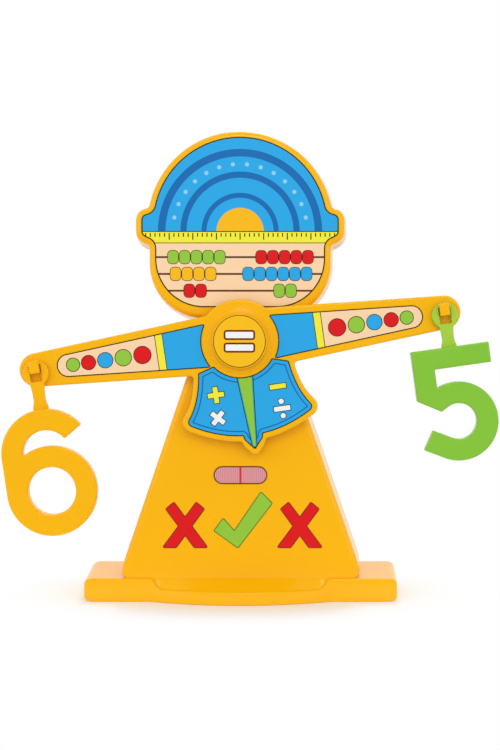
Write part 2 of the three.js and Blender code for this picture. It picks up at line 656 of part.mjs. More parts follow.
// The eye and its stem down to the number's top edge.
function makeEye(top) {
  const ring = plate(disc(0, -EYE_DROP, EYE_RADIUS), EYE_BACK, EYE_THICKNESS, EYE_THICKNESS / 5);
  const waist = STEM_WIDTH / 2;
  const foot = -top - NUMBER_WALL;
  const half = new THREE.Path();
  half.moveTo(0, -EYE_DROP).lineTo(waist + STEM_FLARE / 2, -EYE_DROP - EYE_RADIUS * 0.7);
  half.quadraticCurveTo(waist, -EYE_DROP - EYE_RADIUS, waist, (foot - EYE_DROP - EYE_RADIUS) / 2);
  half.quadraticCurveTo(waist, foot + STEM_FLARE * 2, waist + STEM_FLARE, foot).lineTo(0, foot);
  const stem = plate(symmetric(half), EYE_BACK, EYE_THICKNESS, EYE_THICKNESS / 5);
  const holeTop = PEG_TOP + HANG_GAP;
  const hole = block(
    -EYE_HOLE_WIDTH / 2, EYE_HOLE_WIDTH / 2,
    EYE_BACK - EYE_THICKNESS - 1, EYE_BACK + 1,
    holeTop - EYE_HOLE_HEIGHT, holeTop,
  );
  return ring.add(stem).subtract(hole);
}

function makeNumber(value, { shape, counter, top }) {
  const hollowShape = inset(shape, NUMBER_WALL);
  const core = (depth) => {
    const cut = plate(hollowShape, EYE_BACK + 1, depth + 1);
    return counter ? cut.subtract(plate(counter(NUMBER_WALL), EYE_BACK + 2, NUMBER_THICKNESS + 4)) : cut;
  };
  if (counter) shape.holes.push(counter(0));
  const whole = plate(shape, EYE_BACK, NUMBER_THICKNESS, NUMBER_EDGE);
  const eye = makeEye(top);
  const hollowArea = core(0).volume();
  const depth = (whole.add(eye).volume() - value * UNIT_VOLUME) / hollowArea;
  return whole.subtract(core(depth)).add(eye);
}

// Labels: thin stickers whose outlines follow the faces that they lie on.
function armLabelShape(side) {
  const inner = COLLAR_RADIUS + COLLAR_LABEL_GAP + BEAM_EDGE;
  const outer = ARM_LENGTH - ARM_LABEL_END;
  const taper = (ARM_ROOT_HALF - ARM_END_RADIUS) / ARM_LENGTH;
  const halfAt = (x) => ARM_ROOT_HALF - taper * x - ARM_LABEL_MARGIN;
  const end = halfAt(outer);
  const open = Math.asin(halfAt(inner) / inner);
  const shape = new THREE.Shape();
  shape.absarc(0, 0, inner, open, -open, true);
  shape.absarc(outer - end, 0, end, -Math.PI / 2, Math.PI / 2, false);
  return shapeOf(outlineOf(shape).map((point) => new THREE.Vector2(side * point.x, point.y)));
}

function torsoLabelShape() {
  const margin = TORSO_LABEL_MARGIN;
  const half = new THREE.Path();
  half.absarc(0, 0, COLLAR_RADIUS + COLLAR_LABEL_GAP, -Math.PI / 2, radians(-36), false);
  torsoSide(half, margin);
  half.lineTo(POINTER_HALF - margin / 2, 1 - TORSO_HEM_DROP).lineTo(0, margin - POINTER_DROP);
  return symmetric(half);
}

function pillShape(width, height, z) {
  const radius = height / 2;
  const shape = new THREE.Shape().absarc(width / 2 - radius, z, radius, -Math.PI / 2, Math.PI / 2, false);
  return shape.absarc(radius - width / 2, z, radius, Math.PI / 2, (3 * Math.PI) / 2, false);
}

const sticker = (shape, face) => plate(shape, face - LABEL_GAP, LABEL_THICKNESS);

// Assembly: what stands still, then the tilted beam with what hangs on it.
const balance = new THREE.Group();
const beamGroup = new THREE.Group();
beamGroup.position.z = PIVOT_HEIGHT;
beamGroup.rotation.y = -radians(BEAM_TILT);
balance.add(beamGroup);

balance.add(piece("base", makeBase(), YELLOW));
balance.add(piece("stand_front", makeStandFront(), YELLOW));
balance.add(piece("stand_back", makeStandBack(), YELLOW));
balance.add(piece("head_label", sticker(inset(headShape(LABEL_CHIN), LABEL_MARGIN), FRONT), VINYL_BLUE));
const scaleShape = pillShape(SCALE_WIDTH, SCALE_HEIGHT, SCALE_CENTRE);
balance.add(piece("scale_label", sticker(scaleShape, FRONT), VINYL_PINK));

const knob = piece("pivot_knob", makePivotKnob(), YELLOW);
knob.position.z = PIVOT_HEIGHT;
balance.add(knob);
const knobFront = KNOB_BACK - KNOB_THICKNESS;
const knobLabel = piece("knob_label", sticker(disc(0, 0, KNOB_LABEL_RADIUS), knobFront), VINYL_YELLOW);
knobLabel.position.z = PIVOT_HEIGHT;
balance.add(knobLabel);
const washer = piece("pivot_washer", makePivotWasher(), STEEL);
washer.position.set(0, BOSS_BACK + SEAT_GAP, PIVOT_HEIGHT);
balance.add(washer);
const pivotScrew = piece("pivot_screw", makeScrew(), STEEL);
pivotScrew.position.set(0, BOSS_BACK + WASHER_THICKNESS + 2 * SEAT_GAP, PIVOT_HEIGHT);
balance.add(pivotScrew);

coverScrewSpots().forEach(([x, z], i) => {
  const screw = piece(`back_screw_${i + 1}`, makeScrew(), STEEL);
  screw.position.set(x, wellFloor(z) + SEAT_GAP, z);
  balance.add(screw);
});
for (const [side, x] of [["left", -BASE_SCREW_X], ["right", BASE_SCREW_X]]) {
  const screw = piece(`base_screw_${side}`, makeScrew(), STEEL);
  screw.position.set(x, 0, BASE_HEIGHT - BASE_SCREW_SEAT - SEAT_GAP);
  screw.rotation.x = -Math.PI / 2;
  balance.add(screw);
}

beamGroup.add(piece("beam", makeBeam(), YELLOW));
beamGroup.add(piece("torso_label", sticker(torsoLabelShape(), BEAM_FRONT), VINYL_BLUE));
beamGroup.add(piece("left_arm_label", sticker(armLabelShape(-1), BEAM_FRONT), VINYL_PEACH));
beamGroup.add(piece("right_arm_label", sticker(armLabelShape(1), BEAM_FRONT), VINYL_PEACH));
const six = piece("number_six", makeNumber(6, sixOutline()), YELLOW);
six.position.x = -ARM_LENGTH;
beamGroup.add(six);
const five = piece("number_five", makeNumber(5, fiveOutline()), GREEN);
five.position.x = ARM_LENGTH;
beamGroup.add(five);

export default balance;
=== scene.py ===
# %% [markdown]
# # A math balance
# The real object is a toy number balance. A hollow yellow stand carries a beam that tilts on a knob,
# and a number hangs from a hook at each end of the beam. The mouldings are glossy ABS, and the
# pictures on them are printed vinyl. The solids in the frame give every place and size. This lesson
# rebuilds the mouldings from the same measures with smooth edges, and prints, lights and shows them.

# %% Load the frame
import math

import bmesh
import bpy
import numpy as np
from mathutils import Matrix, Vector
from mathutils.geometry import delaunay_2d_cdt


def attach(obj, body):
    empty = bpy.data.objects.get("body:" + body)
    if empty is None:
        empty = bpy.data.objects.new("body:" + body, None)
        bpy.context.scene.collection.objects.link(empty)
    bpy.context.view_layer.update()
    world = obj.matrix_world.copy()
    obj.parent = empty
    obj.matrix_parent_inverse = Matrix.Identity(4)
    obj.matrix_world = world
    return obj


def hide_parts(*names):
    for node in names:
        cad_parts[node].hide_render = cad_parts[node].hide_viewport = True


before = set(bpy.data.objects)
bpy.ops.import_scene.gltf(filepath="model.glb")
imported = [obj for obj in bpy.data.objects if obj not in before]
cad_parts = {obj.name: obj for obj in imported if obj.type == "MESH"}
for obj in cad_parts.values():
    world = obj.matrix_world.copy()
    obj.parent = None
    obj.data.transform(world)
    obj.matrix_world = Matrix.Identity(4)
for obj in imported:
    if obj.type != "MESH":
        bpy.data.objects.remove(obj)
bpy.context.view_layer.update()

MM = 0.001


def placed(name, data):
    item = bpy.data.objects.new(name, data)
    bpy.context.scene.collection.objects.link(item)
    return item


# %% [markdown]
# ## The photographer's place
# A camera can be placed by eye or from known points of the object. Here the size of the base and the
# height of the head gave the distance, so perspective on the base's top agrees too. The sideways
# shift is the picture's crop: the object stands a little left of the middle of the frame.

# %% Camera
PHOTO_HEIGHT, FOCAL_PIXELS, CROP_PIXELS, SENSOR = 750, 1187, 32, 36
CAMERA_PLACE, LOOKING_DOWN = (0.03373, -0.990, 0.2249), 2.411

camera_data = bpy.data.cameras.new("photo_camera")
camera_data.sensor_width = SENSOR
camera_data.lens = SENSOR * FOCAL_PIXELS / PHOTO_HEIGHT
camera_data.shift_x = -CROP_PIXELS / PHOTO_HEIGHT
camera = placed("photo_camera", camera_data)
camera.location = CAMERA_PLACE
camera.rotation_euler = (math.radians(90 - LOOKING_DOWN), 0, 0)
bpy.context.scene.camera = camera
print(f"lens {camera_data.lens:.1f} mm, shift {camera_data.shift_x:.4f}")

# %% [markdown]
# ## Colour and nodes
# Colours are written as the sRGB values that a colour picker shows, and Blender's sockets want linear
# light, so one function turns one into the other. One small function adds a node, with its settings
# and whatever is linked into it, for materials and for geometry alike. Every finish of this object ends in
# the same way: a tint between two colours, a gloss that varies, and bumps laid over each other.

# %% Colour and node helpers
def linear(hex_colour):
    channels = [int(hex_colour[i:i + 2], 16) / 255 for i in (1, 3, 5)]
    curve = [c / 12.92 if c <= 0.04045 else ((c + 0.055) / 1.055) ** 2.4 for c in channels]
    return [*curve, 1.0]


def add(tree, kind, inputs=None, **settings):
    made = tree.nodes.new(kind)
    for name, value in settings.items():
        setattr(made, name, value)
    for name, value in (inputs or {}).items():
        if isinstance(value, bpy.types.NodeSocket):
            tree.links.new(value, made.inputs[name])
        else:
            made.inputs[name].default_value = value
    return made


def blank_material(name):
    material = bpy.data.materials.new(name)
    material.use_nodes = True
    tree = material.node_tree
    tree.nodes.clear()
    return material, tree, add(tree, "ShaderNodeTexCoord").outputs["Object"]


def surface(tree, tint_by, colours, gloss_by, gloss, bumps, shading):
    tint = add(tree, "ShaderNodeMix", {"Factor": tint_by, 6: colours[0], 7: colours[1]}, data_type="RGBA")
    ends = dict(zip(("From Min", "From Max", "To Min", "To Max"), gloss))
    rough = add(tree, "ShaderNodeMapRange", {"Value": gloss_by, **ends})
    relief = {}
    for height, strength, depth in bumps:
        bump = add(tree, "ShaderNodeBump", {
            "Height": height, "Strength": strength, "Distance": depth * MM, **relief,
        })
        relief = {"Normal": bump.outputs["Normal"]}
    shader = add(tree, "ShaderNodeBsdfPrincipled", {
        "Base Color": tint.outputs[2], "Roughness": rough.outputs["Result"], **relief, **shading,
    })
    add(tree, "ShaderNodeOutputMaterial", {"Surface": shader.outputs["BSDF"]})


print("yellow in linear light:", [round(c, 3) for c in linear("#f9b617")])

# %% [markdown]
# ## Glossy ABS
# The yellow and green pieces are injection-moulded ABS. A polished mould gives the eye a clear, slightly
# wavy gloss: broad soft waves where the wall cooled, a faint orange peel, and after some play a few rub
# marks that only show in the shine. A plain colour would look like paint, so each of these is a noise of
# its own real size. The peel is about 1 mm on the real thing, and it is kept shallow so the edges stay
# crisp. Where the green wall is thin, in the eye of the five, light comes through. That light is painted:
# the eye gets a paler green of its own.

# %% Moulded plastic
CLOUD_MM, RUB_MM, WAVE_MM, PEEL_MM = 55, 0.5, 38, 1.1
RUB_STRETCH, RUB_TURN = (1, 1, 0.06), (0, 0.5, 0.3)
ABS_GLOSS, ABS_IOR, SHINE = (0.35, 0.8, 0.17, 0.24), 1.53, 0.3
WAVE_BUMP, PEEL_BUMP = (0.12, 2), (0.05, 0.05)


def moulded_abs(name, colour, deep_colour):
    material, tree, place = blank_material("glossy_abs_" + name)
    stretched = add(tree, "ShaderNodeMapping", {
        "Vector": place, "Scale": RUB_STRETCH, "Rotation": RUB_TURN,
    })
    layers = [
        (place, CLOUD_MM, 2.0), (stretched.outputs["Vector"], RUB_MM, 3.0),
        (place, WAVE_MM, 1.0), (place, PEEL_MM, 2.0),
    ]
    cloud, rub, wave, peel = [
        add(tree, "ShaderNodeTexNoise", {
            "Vector": vector, "Scale": 1 / (size * MM), "Detail": detail,
        }).outputs["Fac"]
        for vector, size, detail in layers
    ]
    surface(
        tree, cloud, (linear(colour), linear(deep_colour)), rub, ABS_GLOSS,
        [(wave, *WAVE_BUMP), (peel, *PEEL_BUMP)], {"IOR": ABS_IOR, "Specular IOR Level": SHINE},
    )
    return material


yellow_abs = moulded_abs("yellow", "#fbbb02", "#f9b501")
green_abs = moulded_abs("green", "#8ac83e", "#83c237")
# painted light: a paler green for the five's eye, standing for light that shines through its thin wall
green_abs_painted_through_light = moulded_abs("green_painted_through_light", "#aad444", "#a4cf3f")
print("moulded:", yellow_abs.name, green_abs.name, green_abs_painted_through_light.name)

# %% [markdown]
# ## Printed vinyl
# The stickers are vinyl, screened with ink and covered with a thin gloss film. Ink lies in a fine screen
# of dots, so a flat patch of it is never quite even. The real screen is about 0.2 mm, too fine to show, so
# it is drawn at 0.7 mm and very weak. Every ink gets the same film over it.

# %% Printed vinyl
SCREEN_MM, SCREEN_DEPTH, FILM_MM = 0.7, 0.94, 14
VINYL_GLOSS, VINYL_IOR, FILM_BUMP = (0, 1, 0.3, 0.42), 1.5, (0.06, 0.5)
INK_COLOURS = {
    "blue": "#22a9ea", "deep_blue": "#0b6cb5", "pale_blue": "#8ed2f4", "teal": "#37a79a",
    "green": "#94cb3c", "moss": "#47782a", "lemon": "#f5ee36", "yellow": "#fcbc06", "amber": "#fcc100",
    "peach": "#fed8ac", "pink": "#e2a0a4", "rose": "#cf7a86", "red": "#e2080f", "maroon": "#7c1a18",
    "brown": "#6b3f22", "black": "#1a1a18", "white": "#f4f6f4",
}


def printed_vinyl(name, colour):
    material, tree, place = blank_material("printed_vinyl_" + name)
    screen = add(tree, "ShaderNodeTexVoronoi", {
        "Vector": place, "Scale": 1 / (SCREEN_MM * MM), "Randomness": 0.15,
    })
    film = add(tree, "ShaderNodeTexNoise", {
        "Vector": place, "Scale": 1 / (FILM_MM * MM), "Detail": 2.0,
    }).outputs["Fac"]
    ink = linear(colour)
    deep_ink = [c * SCREEN_DEPTH for c in ink[:3]] + [1.0]
    surface(
        tree, screen.outputs["Distance"], (ink, deep_ink), film, VINYL_GLOSS, [(film, *FILM_BUMP)],
        {"IOR": VINYL_IOR, "Specular IOR Level": SHINE},
    )
    return material


INK = {name: printed_vinyl(name, colour) for name, colour in INK_COLOURS.items()}
print("inks:", ", ".join(INK))

# %% [markdown]
# ## Plated steel
# The screws and the washer are zinc-plated steel. Plating gives a pale grey metal with a satin, slightly
# mottled shine, so the roughness drifts over about 2 mm and a fine grain breaks the reflection.

# %% Plated steel
MOTTLE_MM, GRAIN_MM, STEEL_GLOSS, GRAIN_BUMP = 2, 0.25, (0, 1, 0.24, 0.45), (0.15, 0.02)
steel, steel_tree, steel_place = blank_material("zinc_plated_steel")
mottle, grain = [
    add(steel_tree, "ShaderNodeTexNoise", {
        "Vector": steel_place, "Scale": 1 / (size * MM),
    }).outputs["Fac"]
    for size in (MOTTLE_MM, GRAIN_MM)
]
surface(
    steel_tree, mottle, (linear("#c3c6ca"), linear("#aeb2b5")), mottle, STEEL_GLOSS,
    [(grain, *GRAIN_BUMP)], {"Metallic": 1.0},
)
print("metal:", steel.name)

# %% [markdown]
# ## Outlines
# Every moulding is a flat outline given some depth, so most of the work is plane geometry. Blender's
# curves could draw it, but their bevel folds over itself at tight corners. Here an outline is an array of
# points in millimetres, running anticlockwise. Arcs and bows give smooth points, and corners are softened
# afterwards, as a moulder breaks every edge of the tool.

# %% Drawing outlines
SAME_POINT = 0.01


def arc(x, z, radius, start, end, pitch=1.0):
    steps = max(6, math.ceil(math.radians(abs(end - start)) * radius / pitch))
    turn = np.radians(np.linspace(start, end, steps + 1))
    return np.column_stack([x + radius * np.cos(turn), z + radius * np.sin(turn)])


def bow(start, control, end, steps=14):
    t = np.linspace(0, 1, steps + 1)[:, None]
    return (1 - t) ** 2 * np.array(start) + 2 * t * (1 - t) * np.array(control) + t ** 2 * np.array(end)


def outline(*parts):
    points = np.vstack([np.atleast_2d(np.array(part, float)) for part in parts])
    gap = np.linalg.norm(points - np.roll(points, 1, 0), axis=1)
    points = points[gap > SAME_POINT]
    x, z = points.T
    turning = np.sum(x * np.roll(z, -1) - np.roll(x, -1) * z)
    return points if turning > 0 else points[::-1]


def mirrored(*right_half):
    right = np.vstack([np.atleast_2d(np.array(part, float)) for part in right_half])
    return outline(right, (right * [-1, 1])[::-1])


def circle(x, z, radius, pitch=0.8):
    return outline(arc(x, z, radius, 0, 360, pitch))


print("a test circle has", len(circle(0, 0, 20)), "points")

# %% [markdown]
# Three operations turn simple outlines into real ones. The union of overlapping shapes comes from
# Blender's own Delaunay triangulation, whose triangles know which shapes they lie in. A corner is softened
# by walking a little way along both sides of it and bowing between. An offset moves each point along its
# own normal, and points that land too close to the outline, inside a tight corner, are drawn onto a line
# between the good ones, so every ring keeps the same count and can be skinned to its neighbour.

# %% Union
def stacked(shapes):
    points, faces = [], []
    for shape in shapes:
        faces.append(list(range(len(points), len(points) + len(shape))))
        points += [Vector(point) for point in shape]
    return points, faces


def boundary(triangles):
    sides = {(t[i], t[(i + 1) % 3]) for t in triangles for i in range(3)}
    return {a: b for a, b in sides if (b, a) not in sides}


def union(*shapes):
    points, faces = stacked(shapes)
    corners, _, triangles, *_ = delaunay_2d_cdt(points, [], faces, 1, 1e-4)
    onward = boundary(triangles)
    start = max(onward, key=lambda i: corners[i].x)
    loop = [start]
    while onward[loop[-1]] != start:
        loop.append(onward[loop[-1]])
    return outline([corners[i] for i in loop])


print("two discs joined:", len(union(circle(0, 0, 20), circle(25, 0, 20))), "points")

# %% Softening
SHARPEST_TURN, CORNER_STEPS, GENTLE_TURN = 2.4, 8, 15


def evenly(points, pitch=1.2):
    parts = []
    for here, ahead in zip(points, np.roll(points, -1, 0)):
        steps = math.ceil(np.linalg.norm(ahead - here) / pitch)
        parts.append(here + (ahead - here) * np.arange(steps)[:, None] / steps)
    return np.vstack(parts)


def walk(points, corner, step, left, passed):
    while True:
        ahead = (corner + step) % len(points)
        side = points[ahead] - points[corner]
        length = np.linalg.norm(side)
        if length > left:
            return points[corner] + side * left / length
        left -= length
        corner = ahead
        passed.add(corner)


def soften(points, radius, sharper_than=22):
    before = points - np.roll(points, 1, 0)
    after = np.roll(points, -1, 0) - points
    turn = np.arctan2(before[:, 0] * after[:, 1] - before[:, 1] * after[:, 0], (before * after).sum(1))
    dropped, bows = set(), {}
    for corner in np.flatnonzero(np.abs(turn) > math.radians(sharper_than)):
        reach = radius * math.tan(min(abs(turn[corner]), SHARPEST_TURN) / 2)
        start, end = [walk(points, corner, step, reach, dropped) for step in (-1, 1)]
        bows[corner] = bow(start, points[corner], end, CORNER_STEPS)
    kept = [i for i in range(len(points)) if i in bows or i not in dropped]
    return evenly(outline(*[bows.get(i, points[i]) for i in kept]))


test_square = soften(outline([(0, 0), (20, 0), (20, 20), (0, 20)]), 1)
print("a softened square has", len(test_square), "points")

# %% Offset
MITRE_LIMIT, CLEAR_SHARE = 0.4, 0.999


def offset(points, distance):
    if distance == 0:
        return points
    side = np.roll(points, -1, 0) - points
    after = side / np.linalg.norm(side, axis=1)[:, None]
    before = np.roll(after, 1, 0)
    normal = np.column_stack([before[:, 1], -before[:, 0]])
    mitre = normal + np.column_stack([after[:, 1], -after[:, 0]])
    mitre /= np.linalg.norm(mitre, axis=1)[:, None]
    stretch = distance / np.maximum((mitre * normal).sum(1), MITRE_LIMIT)
    moved = points + mitre * stretch[:, None]
    reach = moved[:, None] - points[None]
    along = np.clip((reach * side).sum(2) / (side * side).sum(1), 0, 1)
    nearest = np.linalg.norm(reach - along[..., None] * side, axis=2).min(1)
    good = np.flatnonzero(nearest > abs(distance) * CLEAR_SHARE)
    place = np.arange(len(points))
    return np.column_stack([np.interp(place, good, moved[good, i], period=len(points)) for i in (0, 1)])


test_ring = offset(test_square, -3)
print("moved in by 3 mm it spans", np.round(test_ring.min(0), 2), np.round(test_ring.max(0), 2))

# %% [markdown]
# ## Skins and caps
# A moulding is a stack of rings, skinned with quads and closed by caps. Because the rings run from the
# front face round the edge, down the outside, over the rim and up the inside, one skin makes a hollow
# shell with a real wall. A narrow flat ring inside each rounded edge keeps the face's shading clean. A
# section says how far the outline moves and at which depth it lies, or by which rule.

# %% Skins and caps
def front_view(depth):
    return lambda points: np.column_stack([points[:, 0], np.broadcast_to(depth, len(points)), points[:, 1]])


def join_rings(mesh, rings):
    for ring, behind in zip(rings, rings[1:]):
        for i in range(len(ring)):
            j = (i + 1) % len(ring)
            mesh.faces.new((ring[i], behind[i], behind[j], ring[j]))


def skin(mesh, shape, sections):
    rings = []
    for out, place in sections:
        place = place if callable(place) else front_view(place)
        rings.append([mesh.verts.new(point * MM) for point in place(offset(shape, out))])
    join_rings(mesh, rings)
    return rings[0], rings[-1]


def cap(mesh, loops, axes=(0, 2)):
    corners = [corner for loop in loops for corner in loop]
    flat = [Vector((corner.co[axes[0]] / MM, corner.co[axes[1]] / MM)) for corner in corners]
    faces, start = [], 0
    for loop in loops:
        face = list(range(start, start + len(loop)))
        area = sum(flat[i].cross(flat[j]) for i, j in zip(face, face[1:] + face[:1]))
        faces.append(face if area > 0 else face[::-1])
        start += len(loop)
    _, _, triangles, source, _, inside = delaunay_2d_cdt(flat, [], faces, 1, 1e-5)
    for triangle, shapes in zip(triangles, inside):
        if len(shapes) == 1 and all(source[i] for i in triangle):
            mesh.faces.new([corners[source[i][0]] for i in triangle])


def quarter_round(radius, steps, place):
    turns = np.linspace(0, math.pi / 2, steps + 1)
    return [place(-radius * (1 - math.sin(turn)), radius * (1 - math.cos(turn))) for turn in turns]


print("a 2 mm edge in steps:", quarter_round(2, 3, lambda out, drop: (round(out, 2), round(drop, 2))))

# %% Finished pieces
def finished(name, mesh, finishes, smooth=32):
    bmesh.ops.remove_doubles(mesh, verts=mesh.verts, dist=2e-6)
    bmesh.ops.dissolve_degenerate(mesh, edges=mesh.edges, dist=1e-6)
    bmesh.ops.recalc_face_normals(mesh, faces=mesh.faces)
    data = bpy.data.meshes.new(name)
    mesh.to_mesh(data)
    mesh.free()
    for material in finishes:
        data.materials.append(material)
    data.polygons.foreach_set("use_smooth", [True] * len(data.polygons))
    data.set_sharp_from_angle(angle=math.radians(smooth))
    print(f"{name}: {len(data.polygons)} faces")
    return placed(name, data)


def baked(piece, modifier):
    shown = piece.evaluated_get(bpy.context.evaluated_depsgraph_get())
    made = bpy.data.meshes.new_from_object(shown)
    piece.modifiers.remove(modifier)
    piece.data = made
    return made


def declare(piece, body, slot, *nodes):
    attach(piece, body)
    if nodes:
        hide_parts(*nodes)


# %% [markdown]
# ## The stand
# The stand is one hollow moulding: a sloping panel with a rounded plate on top. Its front edge is broadly
# rounded, and its walls open slightly to the back so that it leaves the mould. Rings follow the joined
# outline of both shapes, so the edge runs on round the neck. The back is a flat slope. At the foot the
# rounding fades out and the panel sits a little way into the base, so the two meet without a groove.

# %% Stand outline
FRONT, STAND_HALF_DEPTH, STAND_LEAN, LEAN_FROM = -31.0, 31.0, 0.1, 19.0
STAND_FOOT, STAND_EDGE, STAND_FLARE, STAND_WALL, STAND_CORNER = 19.1, 4.5, 2.8, 2.5, 4.0
PIVOT_HEIGHT, JAW_BOTTOM, JAW_HALF, JAW_RADIUS = 212.0, 230.3, 73.3, 44.0
BRIM_BOTTOM, BRIM_TOP, BRIM_HALF, BRIM_CORNER = 289.3, 319.3, 84.3, 11.0
DOME_CENTRE, DOME_RADIUS = 305.6, 75.0
FOOT_HALF, FOOT_CORNER, FOOT_FADE, FOOT_SINK = 100.0, 6.5, 16.0, 1.4
NECK_HALF, NECK_OVERLAP = 27.4, 14.0


def head_outline(lift=0):
    jaw = JAW_BOTTOM + JAW_RADIUS + lift
    start = math.degrees(math.asin((BRIM_TOP - DOME_CENTRE) / DOME_RADIUS))
    dome = arc(0, DOME_CENTRE, DOME_RADIUS, 90, start)
    return mirrored(
        dome,
        bow(dome[-1], (BRIM_HALF, BRIM_TOP - 1), (BRIM_HALF, BRIM_TOP - BRIM_CORNER)),
        bow((BRIM_HALF, BRIM_BOTTOM + BRIM_CORNER), (BRIM_HALF, BRIM_BOTTOM + 3), (JAW_HALF, BRIM_BOTTOM)),
        arc(JAW_HALF - JAW_RADIUS, jaw, JAW_RADIUS, 0, -90),
    )


def panel_outline():
    slope = (FOOT_HALF - NECK_HALF) / (JAW_BOTTOM - STAND_FOOT)
    corner_x = FOOT_HALF - FOOT_CORNER * (slope + math.hypot(slope, 1))
    facing = math.degrees(math.atan(slope))
    corner = arc(corner_x, STAND_FOOT + FOOT_CORNER, FOOT_CORNER, facing, -90, 0.6)
    return mirrored([(NECK_HALF, JAW_BOTTOM + NECK_OVERLAP), (NECK_HALF, JAW_BOTTOM)], corner)


stand_outline = soften(union(head_outline(), panel_outline()), STAND_CORNER)
print("stand outline:", len(stand_outline), "points, top at", round(stand_outline[:, 1].max(), 1), "mm")

# %% Stand shell
INSIDE_FOOT = STAND_FOOT + STAND_WALL
FLAT_RING, WALL_DRAFT = 0.8, 0.1
STAND_BREAK = [(0, 0.6), (0.2, 0.15), (0.6, 0)]
STAND_BORE = 6.1


def back_at(z):
    return STAND_HALF_DEPTH - STAND_LEAN * (z - LEAN_FROM)


def stand_ring(depth, lowest=STAND_FOOT):
    def place(points):
        z = np.maximum(points[:, 1], lowest)
        return np.column_stack([points[:, 0], depth(z) + 0 * z, z])
    return place


def back_ring(sink, lowest=STAND_FOOT):
    return stand_ring(lambda z: back_at(z) - sink, lowest)


def flush_ring(depth):
    def place(points):
        z = points[:, 1]
        lift = z.min() - STAND_FOOT
        share = np.clip((STAND_FOOT + FOOT_FADE - z) / (FOOT_FADE - lift), 0, 1)
        sunk = np.column_stack([points[:, 0], z - (lift + FOOT_SINK) * share])
        return stand_ring(lambda z: depth, STAND_FOOT - FOOT_SINK)(sunk)
    return place


shell = bmesh.new()
face_ring, floor_ring = skin(shell, stand_outline, [
    (-STAND_EDGE - FLAT_RING, flush_ring(FRONT)),
    *quarter_round(STAND_EDGE, 9, lambda out, drop: (out, flush_ring(FRONT + drop))),
    *[(STAND_FLARE - inset, back_ring(sink)) for inset, sink in STAND_BREAK],
    (STAND_FLARE - STAND_WALL, back_ring(0, INSIDE_FOOT)),
    (-STAND_WALL, stand_ring(lambda z: FRONT + STAND_EDGE, INSIDE_FOOT)),
    (-STAND_EDGE, stand_ring(lambda z: FRONT + STAND_WALL, INSIDE_FOOT)),
])
bore_front, bore_back = skin(shell, circle(0, PIVOT_HEIGHT, STAND_BORE)[::-1], [
    (0, FRONT), (0, FRONT + STAND_WALL),
])
cap(shell, [face_ring, bore_front])
cap(shell, [floor_ring, bore_back])
declare(finished("stand_shell", shell, [yellow_abs]), "stand", "yellow_plastic", "stand_front")

# %% [markdown]
# The back of the stand is closed by a flat cover, held by five screws at the bottom of round wells. The
# cover is the same outline moved in, laid on the slope. Each well is a hole in its back face with a wall
# and a floor.

# %% Back cover
COVER_IN, COVER_THICKNESS, COVER_FOOT = -0.4, 2.5, INSIDE_FOOT + 0.7
COVER_BREAK, INNER_FLAT, OUTER_FLAT = [(0, 0.5), (0.15, 0.15), (0.5, 0)], 1.0, 1.2
WELL_RADIUS, WELL_DEPTH, WELL_WALL = 4.6, 7.0, 2.0
COVER_SCREWS = [(-69, 47.1), (69, 47.1), (0, 115.55), (-45, DOME_CENTRE), (45, DOME_CENTRE)]


def cover_ring(sink):
    return back_ring(sink, COVER_FOOT)


cover = bmesh.new()
inner_ring, outer_ring = skin(cover, stand_outline, [
    (COVER_IN - INNER_FLAT, cover_ring(COVER_THICKNESS)),
    (COVER_IN, cover_ring(COVER_THICKNESS)),
    *[(COVER_IN - inset, cover_ring(sink)) for inset, sink in COVER_BREAK],
    (COVER_IN - OUTER_FLAT, cover_ring(0)),
])
mouths, tubes = [], []
for x, z in COVER_SCREWS:
    floor = back_at(z) - WELL_DEPTH
    mouth, bottom = skin(cover, circle(x, z, WELL_RADIUS)[::-1], [
        *[(-inset, cover_ring(sink)) for inset, sink in COVER_BREAK[::-1]], (0, floor),
    ])
    tube, end = skin(cover, circle(x, z, WELL_RADIUS + WELL_WALL)[::-1], [
        (0, cover_ring(COVER_THICKNESS)), (0, floor - COVER_THICKNESS),
    ])
    cap(cover, [bottom])
    cap(cover, [end])
    mouths.append(mouth)
    tubes.append(tube)
cap(cover, [outer_ring, *mouths])
cap(cover, [inner_ring, *tubes])
declare(finished("stand_cover", cover, [yellow_abs]), "stand", "yellow_plastic", "stand_back")

# %% [markdown]
# ## The base
# The base is a long bar with a lower, bowed apron in front, moulded in one and hollow underneath. Seen
# from the front the bar's ends are broadly rounded, above and below, and its other edges are crisp. The
# plan is the union of both shapes, and rings run round it. Each point of a ring drops by the rounding of
# its edge and by that of the end that it is near. Across the front a weight by the distance from the
# middle blends the bar into the apron, which rises from its edge to a crease at the foot of the stand.

# %% Base outline
BASE_HEIGHT, BASE_FRONT, BASE_BACK, BASE_WALL = 19.0, -33.5, 39.5, 6.2
BASE_END, BASE_END_DROP, BASE_EDGE, BASE_FOOT = 7.5, 4.4, 1.4, 1.2
BASE_FRONT_HALF, BASE_BACK_HALF, BASE_CORNER, APRON_CORNER = 127.5, 131.5, 3.0, 12.0
APRON_HALF, APRON_REACH, APRON_HEIGHT, APRON_EDGE, APRON_FADE = 74.0, 14.5, 11.0, 2.0, 10.0
APRON_RADIUS = (APRON_HALF ** 2 + APRON_REACH ** 2) / (2 * APRON_REACH)
APRON_CENTRE = BASE_FRONT - APRON_REACH + APRON_RADIUS

